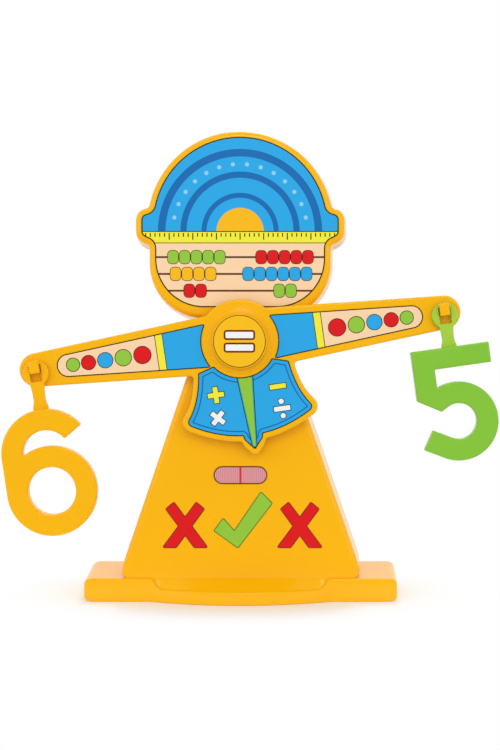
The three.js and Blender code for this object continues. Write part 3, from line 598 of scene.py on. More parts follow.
bar_plan = mirrored(
    bow((BASE_BACK_HALF - BASE_CORNER, BASE_BACK), (BASE_BACK_HALF, BASE_BACK),
        (BASE_BACK_HALF, BASE_BACK - BASE_CORNER)),
    bow((BASE_FRONT_HALF, BASE_FRONT + BASE_CORNER), (BASE_FRONT_HALF, BASE_FRONT),
        (BASE_FRONT_HALF - BASE_CORNER, BASE_FRONT)),
)
apron_end = math.degrees(math.asin((FRONT - APRON_CENTRE) / APRON_RADIUS))
apron_plan = outline(arc(0, APRON_CENTRE, APRON_RADIUS, 180 - apron_end, 360 + apron_end))
base_plan = soften(union(bar_plan, apron_plan), APRON_CORNER, GENTLE_TURN)
print("base plan:", len(base_plan), "points")

# %% Base heights
def apron_edge(x):
    return APRON_CENTRE - np.sqrt(APRON_RADIUS ** 2 - np.minimum(np.abs(x), APRON_HALF) ** 2)


def apron_share(x, y):
    share = np.clip((APRON_HALF - np.abs(x)) / APRON_FADE, 0, 1)
    return np.where(y < FRONT, share ** 2 * (3 - 2 * share), 0)


def end_round(x, y):
    half = np.interp(y, (BASE_FRONT, BASE_BACK), (BASE_FRONT_HALF, BASE_BACK_HALF))
    past = np.clip(1 - (half - np.abs(x)) / BASE_END, 0, 1)
    return BASE_END_DROP * (1 - np.sqrt(1 - past ** 2))


def edge_round(inset, radius):
    return radius - np.sqrt(radius ** 2 - np.maximum(radius - inset, 0) ** 2)


def base_top(x, y, drop):
    reach = FRONT - apron_edge(x)
    inside = np.clip(y - apron_edge(x), 0, reach)
    climb = np.clip((inside - APRON_EDGE) / (reach - APRON_EDGE), 0, 1)
    slope = APRON_HEIGHT + (BASE_HEIGHT - APRON_HEIGHT) * climb - edge_round(inside, APRON_EDGE)
    share = apron_share(x, y)
    return (1 - share) * (BASE_HEIGHT - drop - end_round(x, y)) + share * slope


print("base top at the middle and at the apron's edge:", [
    round(float(base_top(0, y, 0)), 1) for y in (0, BASE_FRONT - APRON_REACH)
])

# %% Base shell
def plan_ring(drop, wall=0):
    return lambda points: np.column_stack([points, base_top(*points.T, drop) - wall])


def foot_ring(rise):
    return lambda points: np.column_stack([points, rise + end_round(*points.T)])


def sloping_cap(mesh, ring, height):
    back = max(range(len(ring)), key=lambda i: ring[i].co.y)
    ring = ring[back:] + ring[:back]
    ahead = [i for i, corner in enumerate(ring) if corner.co.y < FRONT * MM]
    edge = ring[ahead[0]:ahead[-1] + 1]
    crease = [mesh.verts.new((corner.co.x, FRONT * MM, height * MM)) for corner in edge]
    for i in range(len(edge) - 1):
        mesh.faces.new((edge[i], edge[i + 1], crease[i + 1], crease[i]))
    mesh.faces.new((ring[ahead[0] - 1], edge[0], crease[0]))
    mesh.faces.new((edge[-1], ring[ahead[-1] + 1], crease[-1]))
    cap(mesh, [ring[:ahead[0]] + crease + ring[ahead[-1] + 1:]], (0, 1))


base = bmesh.new()
inset_shares = 1 - np.sin(np.linspace(0, math.pi / 2, 15))
top_ring, roof_ring = skin(base, base_plan, [
    (-BASE_END - FLAT_RING, plan_ring(0)),
    *[(-inset, plan_ring(edge_round(inset, BASE_EDGE))) for inset in BASE_END * inset_shares],
    *[(-inset, foot_ring(edge_round(inset, BASE_FOOT))) for inset in BASE_WALL * inset_shares[::-1]],
    (-BASE_WALL - WALL_DRAFT, plan_ring(0, BASE_WALL / 2)),
])
sloping_cap(base, top_ring, BASE_HEIGHT)
sloping_cap(base, roof_ring, BASE_HEIGHT - BASE_WALL / 2)
declare(finished("base_shell", base, [yellow_abs], 24), "stand", "yellow_plastic", "base")

# %% [markdown]
# ## Ribs by Geometry Nodes
# Under the base and behind the beam, thin ribs stiffen the hollow. They repeat, so one node tree makes them
# all: it puts a unit cube on every point and gives it the size and the turn that the point carries. The
# result is turned into a plain mesh, because an exported model can't hold instances.

# %% Node tree helpers
def new_tree(name, **kinds):
    tree = bpy.data.node_groups.new(name, "GeometryNodeTree")
    tree.interface.new_socket("Geometry", in_out="INPUT", socket_type="NodeSocketGeometry")
    for socket, kind in kinds.items():
        tree.interface.new_socket(socket, in_out="INPUT", socket_type="NodeSocket" + kind)
    tree.interface.new_socket("Geometry", in_out="OUTPUT", socket_type="NodeSocketGeometry")
    return tree, add(tree, "NodeGroupInput").outputs


def close_tree(tree, finish, spread):
    repeated = add(tree, "GeometryNodeInstanceOnPoints", spread)
    real = add(tree, "GeometryNodeRealizeInstances", {"Geometry": repeated.outputs["Instances"]})
    coloured = add(tree, "GeometryNodeSetMaterial", {
        "Geometry": real.outputs["Geometry"], "Material": finish,
    })
    add(tree, "NodeGroupOutput", {"Geometry": coloured.outputs["Geometry"]})
    print(f"the tree of {tree.name} has {len(tree.nodes)} nodes")


def grown(name, tree, points, values, **carried):
    data = bpy.data.meshes.new(name)
    data.from_pydata([[c * MM for c in point] for point in points], [], [])
    for attribute, vectors in carried.items():
        layer = data.attributes.new(attribute, "FLOAT_VECTOR", "POINT")
        layer.data.foreach_set("vector", np.array(vectors, np.float32).ravel())
    piece = placed(name, data)
    modifier = piece.modifiers.new("grow", "NODES")
    modifier.node_group = tree
    for socket in tree.interface.items_tree:
        if socket.in_out == "INPUT" and socket.name in values:
            modifier[socket.identifier] = values[socket.name]
    made = baked(piece, modifier)
    print(f"{name}: {len(points)} points grew {len(made.polygons)} faces")
    return piece


# %% Rib tree
rib_tree, rib_in = new_tree("ribs", Finish="Material")
rib_size, rib_turn = [
    add(rib_tree, "GeometryNodeInputNamedAttribute", {"Name": name}, data_type="FLOAT_VECTOR")
    for name in ("size", "turn")
]
unit_rib = add(rib_tree, "GeometryNodeMeshCube", {"Size": (1, 1, 1)})
close_tree(rib_tree, rib_in["Finish"], {
    "Points": rib_in["Geometry"], "Instance": unit_rib.outputs["Mesh"],
    "Rotation": rib_turn.outputs["Attribute"], "Scale": rib_size.outputs["Attribute"],
})


def ribs(name, boxes):
    centres, sizes, turns = [], [], []
    for low, high, turn in boxes:
        centres.append([(a + b) / 2 for a, b in zip(low, high)])
        sizes.append([(b - a) * MM for a, b in zip(low, high)])
        turns.append((0, turn, 0))
    return grown(name, rib_tree, centres, {"Finish": yellow_abs}, size=sizes, turn=turns)


# %% Ribs under the base
RIB, RIB_PITCH, RIB_FOOT, RIB_TOP, APRON_RIB_TOP, LONG_RIB = 2.0, 34, 0.5, 17.0, 8.5, 124.0
INTO_FRONT, OFF_WALL, OFF_APRON_END = 2.0, 4.0, 10.0
half_rib = RIB / 2
base_boxes = [
    ((-LONG_RIB, y - half_rib, RIB_FOOT), (LONG_RIB, y + half_rib, RIB_TOP), 0)
    for y in (0, FRONT + half_rib)
]
for step in range(-3, 4):
    left, right = step * RIB_PITCH - half_rib, step * RIB_PITCH + half_rib
    base_boxes.append(((left, FRONT + INTO_FRONT, RIB_FOOT), (right, BASE_BACK - OFF_WALL, RIB_TOP), 0))
    if abs(step * RIB_PITCH) < APRON_HALF - OFF_APRON_END:
        near = float(apron_edge(step * RIB_PITCH)) + OFF_WALL
        base_boxes.append(((left, near, RIB_FOOT), (right, FRONT + INTO_FRONT + 1, APRON_RIB_TOP), 0))
declare(ribs("base_ribs", base_boxes), "stand", "yellow_plastic")

# %% [markdown]
# ## The beam
# The beam is a plate with two tapered arms, a round hub and a lower panel that ends in a pointer. It is
# drawn level about the pivot, and a matrix tilts it to where it rests in the picture, because the six and
# the five are not in balance. Its back is hollow, and a collar stands round the hole in the front.

# %% Beam outline
BEAM_BACK, BEAM_FRONT, BEAM_EDGE, BEAM_SKIN, BEAM_CORNER = -34.0, -42.0, 1.8, 2.2, 3.0
ARM_LENGTH, ARM_END, ARM_ROOT = 164.5, 13.5, 25.4
HUB_RADIUS, COLLAR_RADIUS, COLLAR_HEIGHT, BORE_RADIUS = 33.5, 26.0, 1.0, 6.3
WAIST_HALF, WAIST_BULGE, HIP_HALF, HIP_DROP, HIP_RADIUS = 41.0, 3.0, 54.5, 59.0, 8.5
HIP_FROM, HIP_TO, HEM_DROP, HEM_RISE = 38, -62, 80.0, 1.5
POINTER_HALF, POINTER_NECK, POINTER_TIP, POINTER_DROP = 9.5, 4.0, 2.4, 92.0
ARM_TAPER = (ARM_ROOT - ARM_END) / ARM_LENGTH


def torso_side(margin):
    hip, radius = HIP_HALF - HIP_RADIUS, HIP_RADIUS - margin
    waist, hem = WAIST_HALF - margin, margin - HEM_DROP
    round_hip = arc(hip, -HIP_DROP, radius, HIP_FROM, HIP_TO)
    return np.vstack([
        [(waist, margin - ARM_ROOT)],
        bow((waist, margin - ARM_ROOT), (waist + WAIST_BULGE, -HIP_DROP * 0.75), round_hip[0]),
        round_hip,
        bow(round_hip[-1], (hip * 0.6, hem + HEM_RISE), (POINTER_HALF - margin / 3, hem)),
    ])


end_turn = 90 - math.degrees(math.asin(ARM_TAPER))
arm_outline = mirrored(
    [(0, ARM_ROOT)], arc(ARM_LENGTH, 0, ARM_END, end_turn, -end_turn), [(0, -ARM_ROOT)],
)
torso_outline = mirrored(
    [(40, 0)], torso_side(0),
    bow((POINTER_HALF, -HEM_DROP), (POINTER_HALF, -HEM_DROP - POINTER_NECK),
        (POINTER_TIP, 1 - POINTER_DROP)),
    [(0, -POINTER_DROP)],
)
beam_outline = soften(union(arm_outline, torso_outline, circle(0, 0, HUB_RADIUS)), BEAM_CORNER, GENTLE_TURN)
print("beam outline:", len(beam_outline), "points")

# %% Beam plate
BEAM_TILT = 8.05
BEAM_BREAK = [(0, 0.8), (0.25, 0.25), (0.8, 0)]
COLLAR_RISE = [(-0.6, 0), (-0.15, 0.15), (0, 0.5), (0.15, COLLAR_HEIGHT - 0.15), (0.5, COLLAR_HEIGHT)]
BOSS_BACK, BOSS_RADIUS, BEAM_FLAT, BEAM_DRAFT = -31.4, 11.0, 0.5, 0.2
beam_place = Matrix.Translation((0, 0, PIVOT_HEIGHT * MM)) @ Matrix.Rotation(
    math.radians(-BEAM_TILT), 4, "Y"
)


def tilted(piece):
    piece.data.transform(beam_place)
    return piece


beam = bmesh.new()
beam_face, beam_floor = skin(beam, beam_outline, [
    (-BEAM_EDGE - BEAM_FLAT, BEAM_FRONT),
    *quarter_round(BEAM_EDGE, 6, lambda out, drop: (out, BEAM_FRONT + drop)),
    *[(-inset, BEAM_BACK - sink) for inset, sink in BEAM_BREAK],
    (-BEAM_SKIN, BEAM_BACK),
    (-BEAM_SKIN - BEAM_DRAFT, BEAM_FRONT + BEAM_SKIN),
])
collar_foot, collar_top = skin(beam, circle(0, 0, COLLAR_RADIUS)[::-1], [
    (out, BEAM_FRONT - rise) for out, rise in COLLAR_RISE
])
boss_foot, boss_end = skin(beam, circle(0, 0, BOSS_RADIUS)[::-1], [
    (0, BEAM_FRONT + BEAM_SKIN), (0, BOSS_BACK),
])
hole_front, hole_back = skin(beam, circle(0, 0, BORE_RADIUS)[::-1], [
    (0, BEAM_FRONT - COLLAR_HEIGHT), (0, BOSS_BACK),
])
for outer, inner in (
    (beam_face, collar_foot), (collar_top, hole_front), (beam_floor, boss_foot), (boss_end, hole_back),
):
    cap(beam, [outer, inner])
declare(tilted(finished("beam_plate", beam, [yellow_abs])), "beam", "yellow_plastic", "beam")

# %% [markdown]
# A rib runs along each arm and short ones cross it. Behind the lower panel two ribs stand at an angle, and
# the peg on the stand runs between them: where it meets one of them, the beam has tilted as far as it can.

# %% Ribs behind the beam
RIB_FRONT, RIB_BACK = BEAM_FRONT + BEAM_SKIN - 0.2, BEAM_BACK - 0.3
ARM_RIB_FROM, ARM_RIB_TO, CROSS_RIB_SHORT = 10.0, ARM_LENGTH + ARM_END - 2, 1.4
STOP_RIB_TURN, STOP_RIB_FROM, STOP_RIB_TO = 24.65, 10.0, 79.8
beam_boxes = []
for side in (-1, 1):
    near, far = sorted((side * ARM_RIB_FROM, side * ARM_RIB_TO))
    beam_boxes.append(((near, RIB_FRONT, -half_rib), (far, RIB_BACK, half_rib), 0))
    for step in range(4):
        x = HUB_RADIUS + RIB_PITCH * (step + 0.5)
        half = ARM_ROOT - ARM_TAPER * x - CROSS_RIB_SHORT
        left, right = side * x - half_rib, side * x + half_rib
        beam_boxes.append(((left, RIB_FRONT, -half), (right, RIB_BACK, half), 0))
    turn = side * math.radians(STOP_RIB_TURN)
    middle, reach = (STOP_RIB_TO + STOP_RIB_FROM) / 2, (STOP_RIB_TO - STOP_RIB_FROM) / 2
    x, z = middle * math.sin(turn), -middle * math.cos(turn)
    beam_boxes.append(((x - half_rib, RIB_FRONT, z - reach), (x + half_rib, RIB_BACK, z + reach), -turn))
declare(tilted(ribs("beam_ribs", beam_boxes)), "beam", "yellow_plastic")

# %% [markdown]
# Each arm ends in a hook: a square peg with an upturned lip that keeps a number from sliding off. It is a
# side profile pulled to the peg's width, with every edge broken by a small bevel.

# %% Hooks
PEG_WIDTH, PEG_TOP, PEG_FOOT, PEG_ROOT = 7.8, 4.0, -2.6, -1.1
LIP_TOP, LIP_BACK, HOOK_REACH, HOOK_EDGE = 7.0, 4.8, 7.8, 0.55
HOOK_PROFILE = [
    (PEG_ROOT, PEG_FOOT), (HOOK_REACH, PEG_FOOT), (HOOK_REACH, LIP_TOP),
    (LIP_BACK, LIP_TOP), (LIP_BACK, PEG_TOP), (PEG_ROOT, PEG_TOP),
]
hooks = bmesh.new()
for side in (-1, 1):
    left = side * ARM_LENGTH - PEG_WIDTH / 2
    face = hooks.faces.new([
        hooks.verts.new(Vector((left, BEAM_FRONT - reach, z)) * MM) for reach, z in HOOK_PROFILE
    ])
    pulled = bmesh.ops.extrude_face_region(hooks, geom=[face])["geom"]
    moved = [v for v in pulled if isinstance(v, bmesh.types.BMVert)]
    bmesh.ops.translate(hooks, verts=moved, vec=(PEG_WIDTH * MM, 0, 0))
bmesh.ops.bevel(
    hooks, geom=hooks.edges[:], offset=HOOK_EDGE * MM, segments=3, profile=0.5, affect="EDGES",
    clamp_overlap=True,
)
declare(tilted(finished("arm_hooks", hooks, [yellow_abs], 40)), "beam", "yellow_plastic")

# %% [markdown]
# ## The numbers
# The six and the five are thick mouldings with rounded edges and a cored back, so that each weighs what it
# says. Each has a stem and an eye that hangs on the hook. The outlines are arcs and straight strokes.

# %% Number outlines
NUMBER_CORNER = 0.9
SIX_TOP, SIX_RADIUS, SIX_INNER, SIX_CENTRES, SIX_END = -31.3, 36.0, 19.0, 29.7, 33
FIVE_TOP, FIVE_LEFT, FIVE_RIGHT, FIVE_BAR, FIVE_STROKE = -27.7, -31.6, 30.8, 16.3, 17.3
BOWL_X, BOWL_Z, BOWL_RADIUS, BOWL_START, BOWL_END = -0.8, -87.1, 31.5, 125, 241.5
FIVE_SPUR, FIVE_TAIL = [(FIVE_LEFT, -67.3), (-13.4, -78.0)], [(-22.1, -91.7), (-31.2, -106.4)]


def six_outline():
    top = SIX_TOP - SIX_RADIUS
    bottom = top - SIX_CENTRES
    drop = (SIX_RADIUS ** 2 - SIX_INNER ** 2 - SIX_CENTRES ** 2) / (2 * SIX_CENTRES)
    notch = math.acos(drop / SIX_INNER) + math.pi / 2
    notch_x, notch_z = SIX_INNER * math.cos(notch), SIX_INNER * math.sin(notch)
    join = math.degrees(math.atan2(notch_z + SIX_CENTRES, notch_x))
    start = math.degrees(math.atan2(notch_z, notch_x)) % 360
    shape = outline(
        arc(0, top, SIX_RADIUS, SIX_END, 180), arc(0, bottom, SIX_RADIUS, 180, 360 + join),
        arc(0, top, SIX_INNER, start, SIX_END),
    )
    return [soften(shape, NUMBER_CORNER), circle(0, bottom, SIX_INNER)]


def five_outline():
    stroke, under = FIVE_LEFT + FIVE_STROKE, FIVE_TOP - FIVE_BAR
    join = math.degrees(math.acos((stroke - BOWL_X) / BOWL_RADIUS))
    shape = outline(
        [(FIVE_RIGHT, FIVE_TOP), (FIVE_LEFT, FIVE_TOP)], FIVE_SPUR,
        arc(BOWL_X, BOWL_Z, BOWL_RADIUS - FIVE_STROKE, BOWL_START, BOWL_END - 360), FIVE_TAIL,
        arc(BOWL_X, BOWL_Z, BOWL_RADIUS, BOWL_END, 360 + join), [(stroke, under), (FIVE_RIGHT, under)],
    )
    return [soften(shape, NUMBER_CORNER)]


print("six:", len(six_outline()[0]), "points, five:", len(five_outline()[0]), "points")

# %% Eyes
NUMBER_BACK, NUMBER_FRONT, NUMBER_EDGE, NUMBER_WALL = -42.4, -51.4, 1.6, 2.6
EYE_BACK, EYE_FRONT, EYE_EDGE, EYE_HOLE_EDGE = -42.5, -46.4, 0.8, 0.35
EYE_RADIUS, EYE_DROP, EYE_CORNER, EYE_STEM, STEM_FLARE = 10.3, 2.5, 4.0, 4.75, 3.2
HOLE_HALF, HOLE_FOOT, HOLE_TOP, HOLE_CORNER = 4.75, -9.3, 4.3, 1.4


def eye_outline(top):
    foot, collar = top - NUMBER_WALL, -EYE_DROP - EYE_RADIUS
    waist = (EYE_STEM, (foot + collar) / 2)
    stem = mirrored(
        bow((EYE_STEM + STEM_FLARE / 2, collar * 0.8), (EYE_STEM, collar), waist),
        bow(waist, (EYE_STEM, foot + 2 * STEM_FLARE), (EYE_STEM + STEM_FLARE, foot)),
    )
    return soften(union(circle(0, -EYE_DROP, EYE_RADIUS, 0.5), stem), EYE_CORNER)


EYE_HOLE = soften(mirrored([(HOLE_HALF, HOLE_FOOT), (HOLE_HALF, HOLE_TOP)]), HOLE_CORNER)
print("the eye of the six has", len(eye_outline(SIX_TOP)), "points")

# %% Numbers
SIX_CORE, FIVE_CORE, FLAT_SHARE = -49.03, -49.18, 1.25


def rounded_plate(mesh, shapes, edges, front, back, core=None):
    facing, floors = [], []
    for shape, edge in zip(shapes, edges):
        flat = -edge * FLAT_SHARE
        sections = [
            (flat, front),
            *quarter_round(edge, 6, lambda out, drop: (out, front + drop)),
            *quarter_round(edge, 6, lambda out, drop: (out, back - drop))[::-1],
        ]
        if core:
            sections += [(-NUMBER_WALL, back), (-NUMBER_WALL - WALL_DRAFT, core)]
        else:
            sections += [(flat, back)]
        first, last = skin(mesh, shape if not facing else shape[::-1], sections)
        facing.append(first)
        floors.append(last)
    cap(mesh, facing)
    cap(mesh, floors)


def one_solid(keep, other):
    modifier = keep.modifiers.new("join", "BOOLEAN")
    modifier.operation, modifier.solver, modifier.object = "UNION", "EXACT", other
    modifier.material_mode = "TRANSFER"
    joined = baked(keep, modifier)
    bpy.data.objects.remove(other)
    joined.set_sharp_from_angle(angle=math.radians(32))


def number(name, shapes, top, core, x, finish, eye_finish):
    digit, eye = bmesh.new(), bmesh.new()
    rounded_plate(digit, shapes, [NUMBER_EDGE] * 2, NUMBER_FRONT, NUMBER_BACK, core)
    rounded_plate(eye, [eye_outline(top), EYE_HOLE], [EYE_EDGE, EYE_HOLE_EDGE], EYE_FRONT, EYE_BACK)
    piece = finished(name, digit, [finish])
    one_solid(piece, finished(name + "_eye", eye, [eye_finish]))
    piece.data.transform(Matrix.Translation((x * MM, 0, 0)))
    return tilted(piece)


six = number("six", six_outline(), SIX_TOP, SIX_CORE, -ARM_LENGTH, yellow_abs, yellow_abs)
# the five's eye takes the paler green, which is painted light shining through the thin wall
five = number("five", five_outline(), FIVE_TOP, FIVE_CORE, ARM_LENGTH, green_abs, green_abs_painted_through_light)
declare(six, "six", "yellow_plastic", "number_six")
declare(five, "five", "green_plastic", "number_five")

# %% [markdown]
# ## Turned pieces
# The knob with its stem, the stop peg and the screws are round, so each is a profile turned about an axis.
# A screw head has a cross recess: a cross-shaped hole in the cap, with walls and a floor of its own.

# %% Knob and stop peg
KNOB_BACK, KNOB_FRONT, KNOB_RADIUS, KNOB_EDGE, KNOB_BREAK = -43.4, -49.4, 22.0, 2.0, 0.4
STEM_RADIUS, STEM_END = 6.0, -16.6
STOP_DROP, STOP_RADIUS, STOP_END, STOP_EDGE = 38.0, 3.0, -36.4, 0.8
KNOB_SIDES, STOP_SIDES, SCREW_SIDES = 128, 40, 36


def turned(mesh, profile, centre, sides, closed=True):
    turn = np.radians(np.linspace(0, 360, sides, endpoint=False))
    unit = np.column_stack([np.cos(turn), np.sin(turn)])
    rings = [
        [mesh.verts.new(point * MM) for point in front_view(depth)(unit * radius + centre)]
        for radius, depth in profile
    ]
    join_rings(mesh, rings)
    cap(mesh, [rings[0]])
    if closed:
        cap(mesh, [rings[-1]])
    return rings[-1]


knob = bmesh.new()
turned(knob, [
    (KNOB_RADIUS - KNOB_EDGE - 0.5, KNOB_FRONT),
    *quarter_round(KNOB_EDGE, 8, lambda out, drop: (KNOB_RADIUS + out, KNOB_FRONT + drop)),
    (KNOB_RADIUS, KNOB_BACK - KNOB_BREAK), (KNOB_RADIUS - KNOB_BREAK, KNOB_BACK),
    (STEM_RADIUS, KNOB_BACK), (STEM_RADIUS, STEM_END),
], (0, PIVOT_HEIGHT), KNOB_SIDES)
declare(finished("pivot_cap", knob, [yellow_abs]), "stand", "yellow_plastic", "pivot_knob")

peg = bmesh.new()
turned(peg, [
    (STOP_RADIUS - STOP_EDGE - 0.4, STOP_END),
    *quarter_round(STOP_EDGE, 4, lambda out, drop: (STOP_RADIUS + out, STOP_END + drop)),
    (STOP_RADIUS, FRONT + 0.5), (STOP_RADIUS - 0.5, FRONT + 1),
], (0, PIVOT_HEIGHT - STOP_DROP), STOP_SIDES)
declare(finished("stop_peg", peg, [yellow_abs]), "stand", "yellow_plastic")

# %% Screw
SCREW_HEAD, SCREW_RISE, SHANK, SHANK_LENGTH = 3.8, 2.4, 1.6, 11.0
POINT_RADIUS, POINT_LENGTH, POINT_BASE = 0.15, 2.2, 1.2
THREADS, THREAD_FROM, THREAD_PITCH, THREAD_HALF, THREAD_DEPTH = 9, 2.6, 0.9, 0.35, 0.25
HEAD_ROUND = [(0, 0.8), (0.15, 1.3), (0.55, 1.85), (1.2, SCREW_RISE), (1.4, SCREW_RISE)]
RECESS_ARM, RECESS_HALF, RECESS_DEPTH, RECESS_DRAFT = 1.9, 0.45, 1.3, 0.15
screw_mesh = bmesh.new()
threads = []
for turn in range(THREADS):
    crest = THREAD_FROM - SHANK_LENGTH + turn * THREAD_PITCH + THREAD_HALF
    root = SHANK - THREAD_DEPTH
    threads += [(root, crest - THREAD_HALF), (SHANK, crest), (root, crest + THREAD_HALF)]
head_ring = turned(screw_mesh, [
    (POINT_RADIUS, -SHANK_LENGTH), (POINT_BASE, POINT_LENGTH - SHANK_LENGTH), *threads, (SHANK, 0),
    (SCREW_HEAD, 0), *[(SCREW_HEAD - inset, rise) for inset, rise in HEAD_ROUND],
], (0, 0), SCREW_SIDES, False)
a, b = RECESS_ARM, RECESS_HALF
cross_recess = mirrored([(b, a), (b, b), (a, b), (a, -b), (b, -b), (b, -a)])
recess_mouth, recess_floor = skin(screw_mesh, cross_recess, [
    (0, SCREW_RISE), (-RECESS_DRAFT, SCREW_RISE - RECESS_DEPTH),
])
cap(screw_mesh, [head_ring, recess_mouth])
cap(screw_mesh, [recess_floor])
screw = finished("screw_pattern", screw_mesh, [steel], 40)

# %% Screws and washer
PIVOT_SCREW_SEAT, SEAT_GAP = -15.1, 0.1
BASE_SCREWS = [(-60, 0, 13.9), (60, 0, 13.9)]
screw_tree, screw_in = new_tree("screws", Screw="Object", Turn="Vector", Finish="Material")
screw_shape = add(screw_tree, "GeometryNodeObjectInfo", {"Object": screw_in["Screw"]})
close_tree(screw_tree, screw_in["Finish"], {
    "Points": screw_in["Geometry"], "Instance": screw_shape.outputs["Geometry"],
    "Rotation": screw_in["Turn"],
})
cover_seats = [(x, back_at(z) - WELL_DEPTH + SEAT_GAP, z) for x, z in COVER_SCREWS]
cover_seats.append((0, PIVOT_SCREW_SEAT, PIVOT_HEIGHT))
cover_screws = grown("cover_screws", screw_tree, cover_seats, {"Screw": screw, "Finish": steel})
base_screws = grown("base_screws", screw_tree, BASE_SCREWS, {
    "Screw": screw, "Turn": (math.radians(-90), 0, 0), "Finish": steel,
})
bpy.data.objects.remove(screw)
declare(cover_screws, "stand", "steel", *[f"back_screw_{i}" for i in range(1, 6)], "pivot_screw")
declare(base_screws, "stand", "steel", "base_screw_left", "base_screw_right")
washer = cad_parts["pivot_washer"]
washer.data.materials.clear()
washer.data.materials.append(steel)

# %% [markdown]
# ## Printing
# A sticker is a thin sheet whose front face is cut into patches, one ink to a patch. Layers of paint would
# flicker in other viewers, so all the shapes go into one triangulation, and each triangle takes the ink of
# the last shape that covers it. Outside the field, a dark key line runs round the edge.

# %% Print sheet
def print_sheet(name, shape, face, inks, rim=0.8, rim_ink="black", thickness=0.3, gap=0.05):
    shapes, paints = [shape, offset(shape, -rim)], [rim_ink, inks[0][0]]
    for ink, patches in inks[1:]:
        shapes += patches
        paints += [ink] * len(patches)
    points, faces = stacked(shapes)
    corners, _, triangles, _, _, inside = delaunay_2d_cdt(points, [], faces, 1, 1e-4)
    used = sorted(set(paints))
    sheet = bmesh.new()
    made = [sheet.verts.new(Vector((c.x, face - gap - thickness, c.y)) * MM) for c in corners]
    kept = []
    for triangle, within in zip(triangles, inside):
        if 0 in within:
            ink = paints[max(within)] if 1 in within else rim_ink
            sheet.faces.new([made[i] for i in triangle]).material_index = used.index(ink)
            kept.append(triangle)
    key_line = used.index(rim_ink)
    inwards = Vector((0, thickness * MM, 0))
    behind = {i: sheet.verts.new(made[i].co + inwards) for i in {i for t in kept for i in t}}
    for a, b, c in kept:
        sheet.faces.new((behind[c], behind[b], behind[a])).material_index = key_line
    for a, b in boundary(kept).items():
        sheet.faces.new((made[a], behind[a], behind[b], made[b])).material_index = key_line
    for loose in [v for v in sheet.verts if not v.link_faces]:
        sheet.verts.remove(loose)
    return finished(name, sheet, [INK[ink] for ink in used], 30)


def box(x0, x1, z0, z1):
    return outline([(x0, z0), (x1, z0), (x1, z1), (x0, z1)])


def bar(x, z, length, width, turn=0):
    c, s = math.cos(math.radians(turn)), math.sin(math.radians(turn))
    spin = np.array([[c, s], [-s, c]])
    return box(-length / 2, length / 2, -width / 2, width / 2) @ spin + [x, z]


def band(x, z, inside, outside, start=0, end=180):
    return outline(arc(x, z, outside, start, end), arc(x, z, inside, end, start))


def outlined(ink, patches, line=0.6, line_ink="black"):
    return [(line_ink, [offset(patch, line) for patch in patches]), (ink, patches)]


print("a band of ink has", len(band(0, 0, 10, 12)), "points")

# %% [markdown]
# The plate on top of the stand carries a sunrise of blue arcs over a ruler, and rods of counting beads
# below. Shapes run past the edge of the sheet where they should be cut off by it.

# %% Head print
HEAD_LIFT, HEAD_MARGIN, HORIZON, PAST_EDGE, SKY = 4, 5, 300.0, 90, 100
SUN, SUN_ROWS = 19, [(60, 66), (43, 48), (27, 31)]
RULER_EDGE, RULER_FACE, TICK_TOP = (-9.4, 0.4), (-8.8, -0.3), -1.2
DOT_ROW, DOT = 54, 1.7
TICKS, TICK_PITCH, TICK_FROM, TICK_HALF, LONG_TICK, SHORT_TICK = 41, 3.8, -76, 0.45, 6.5, 4.2
BEAD_PITCH, BEAD_HALF, BEAD_TALL, BEAD_CORNER, ROD_HALF = 9.4, 4.2, 5.2, 3.6, 0.8
BEAD_ROWS = [
    (279.5, [("green", -54, 5), ("red", 17, 5)]), (266, [("yellow", -52, 4), ("blue", 6.5, 6)]),
    (252.5, [("red", -41, 2), ("green", 31.5, 2)]),
]


def across(z, low, high):
    return box(-PAST_EDGE, PAST_EDGE, z + low, z + high)


head_sheet = offset(soften(head_outline(HEAD_LIFT), STAND_CORNER), -HEAD_MARGIN)
dots = [
    circle(DOT_ROW * math.cos(turn), HORIZON + DOT_ROW * math.sin(turn), DOT)
    for turn in np.radians(range(12, 180, 12))
]
ticks = []
for i in range(TICKS):
    x, length = TICK_FROM + TICK_PITCH * i, SHORT_TICK if i % 5 else LONG_TICK
    ticks.append(box(x - TICK_HALF, x + TICK_HALF, HORIZON - length, HORIZON + TICK_TOP))
head_inks = [
    ("peach", []),
    ("blue", [across(HORIZON, 0, SKY)]),
    ("deep_blue", [band(0, HORIZON, inner, outer) for inner, outer in SUN_ROWS]),
    ("pale_blue", dots),
    ("yellow", [band(0, HORIZON, 0.5, SUN)]),
    ("black", [across(HORIZON, *RULER_EDGE)]),
    ("lemon", [across(HORIZON, *RULER_FACE)]),
    ("black", ticks),
    ("brown", [across(z, -ROD_HALF, ROD_HALF) for z, _ in BEAD_ROWS]),
]
for z, groups in BEAD_ROWS:
    for ink, start, count in groups:
        places = [start + BEAD_PITCH * i for i in range(count)]
        beads = [box(x - BEAD_HALF, x + BEAD_HALF, z - BEAD_TALL, z + BEAD_TALL) for x in places]
        head_inks += outlined(ink, [soften(bead, BEAD_CORNER) for bead in beads], 0.5)
head_print = print_sheet("head_print", head_sheet, FRONT, head_inks, 0.9)
declare(head_print, "stand", "label_blue", "head_label")

# %% [markdown]
# The lower panel of the beam is printed blue with a darker line inside its edge, the four signs of sums,
# and a green needle that narrows down to the pointer, so that a child can read the tilt.

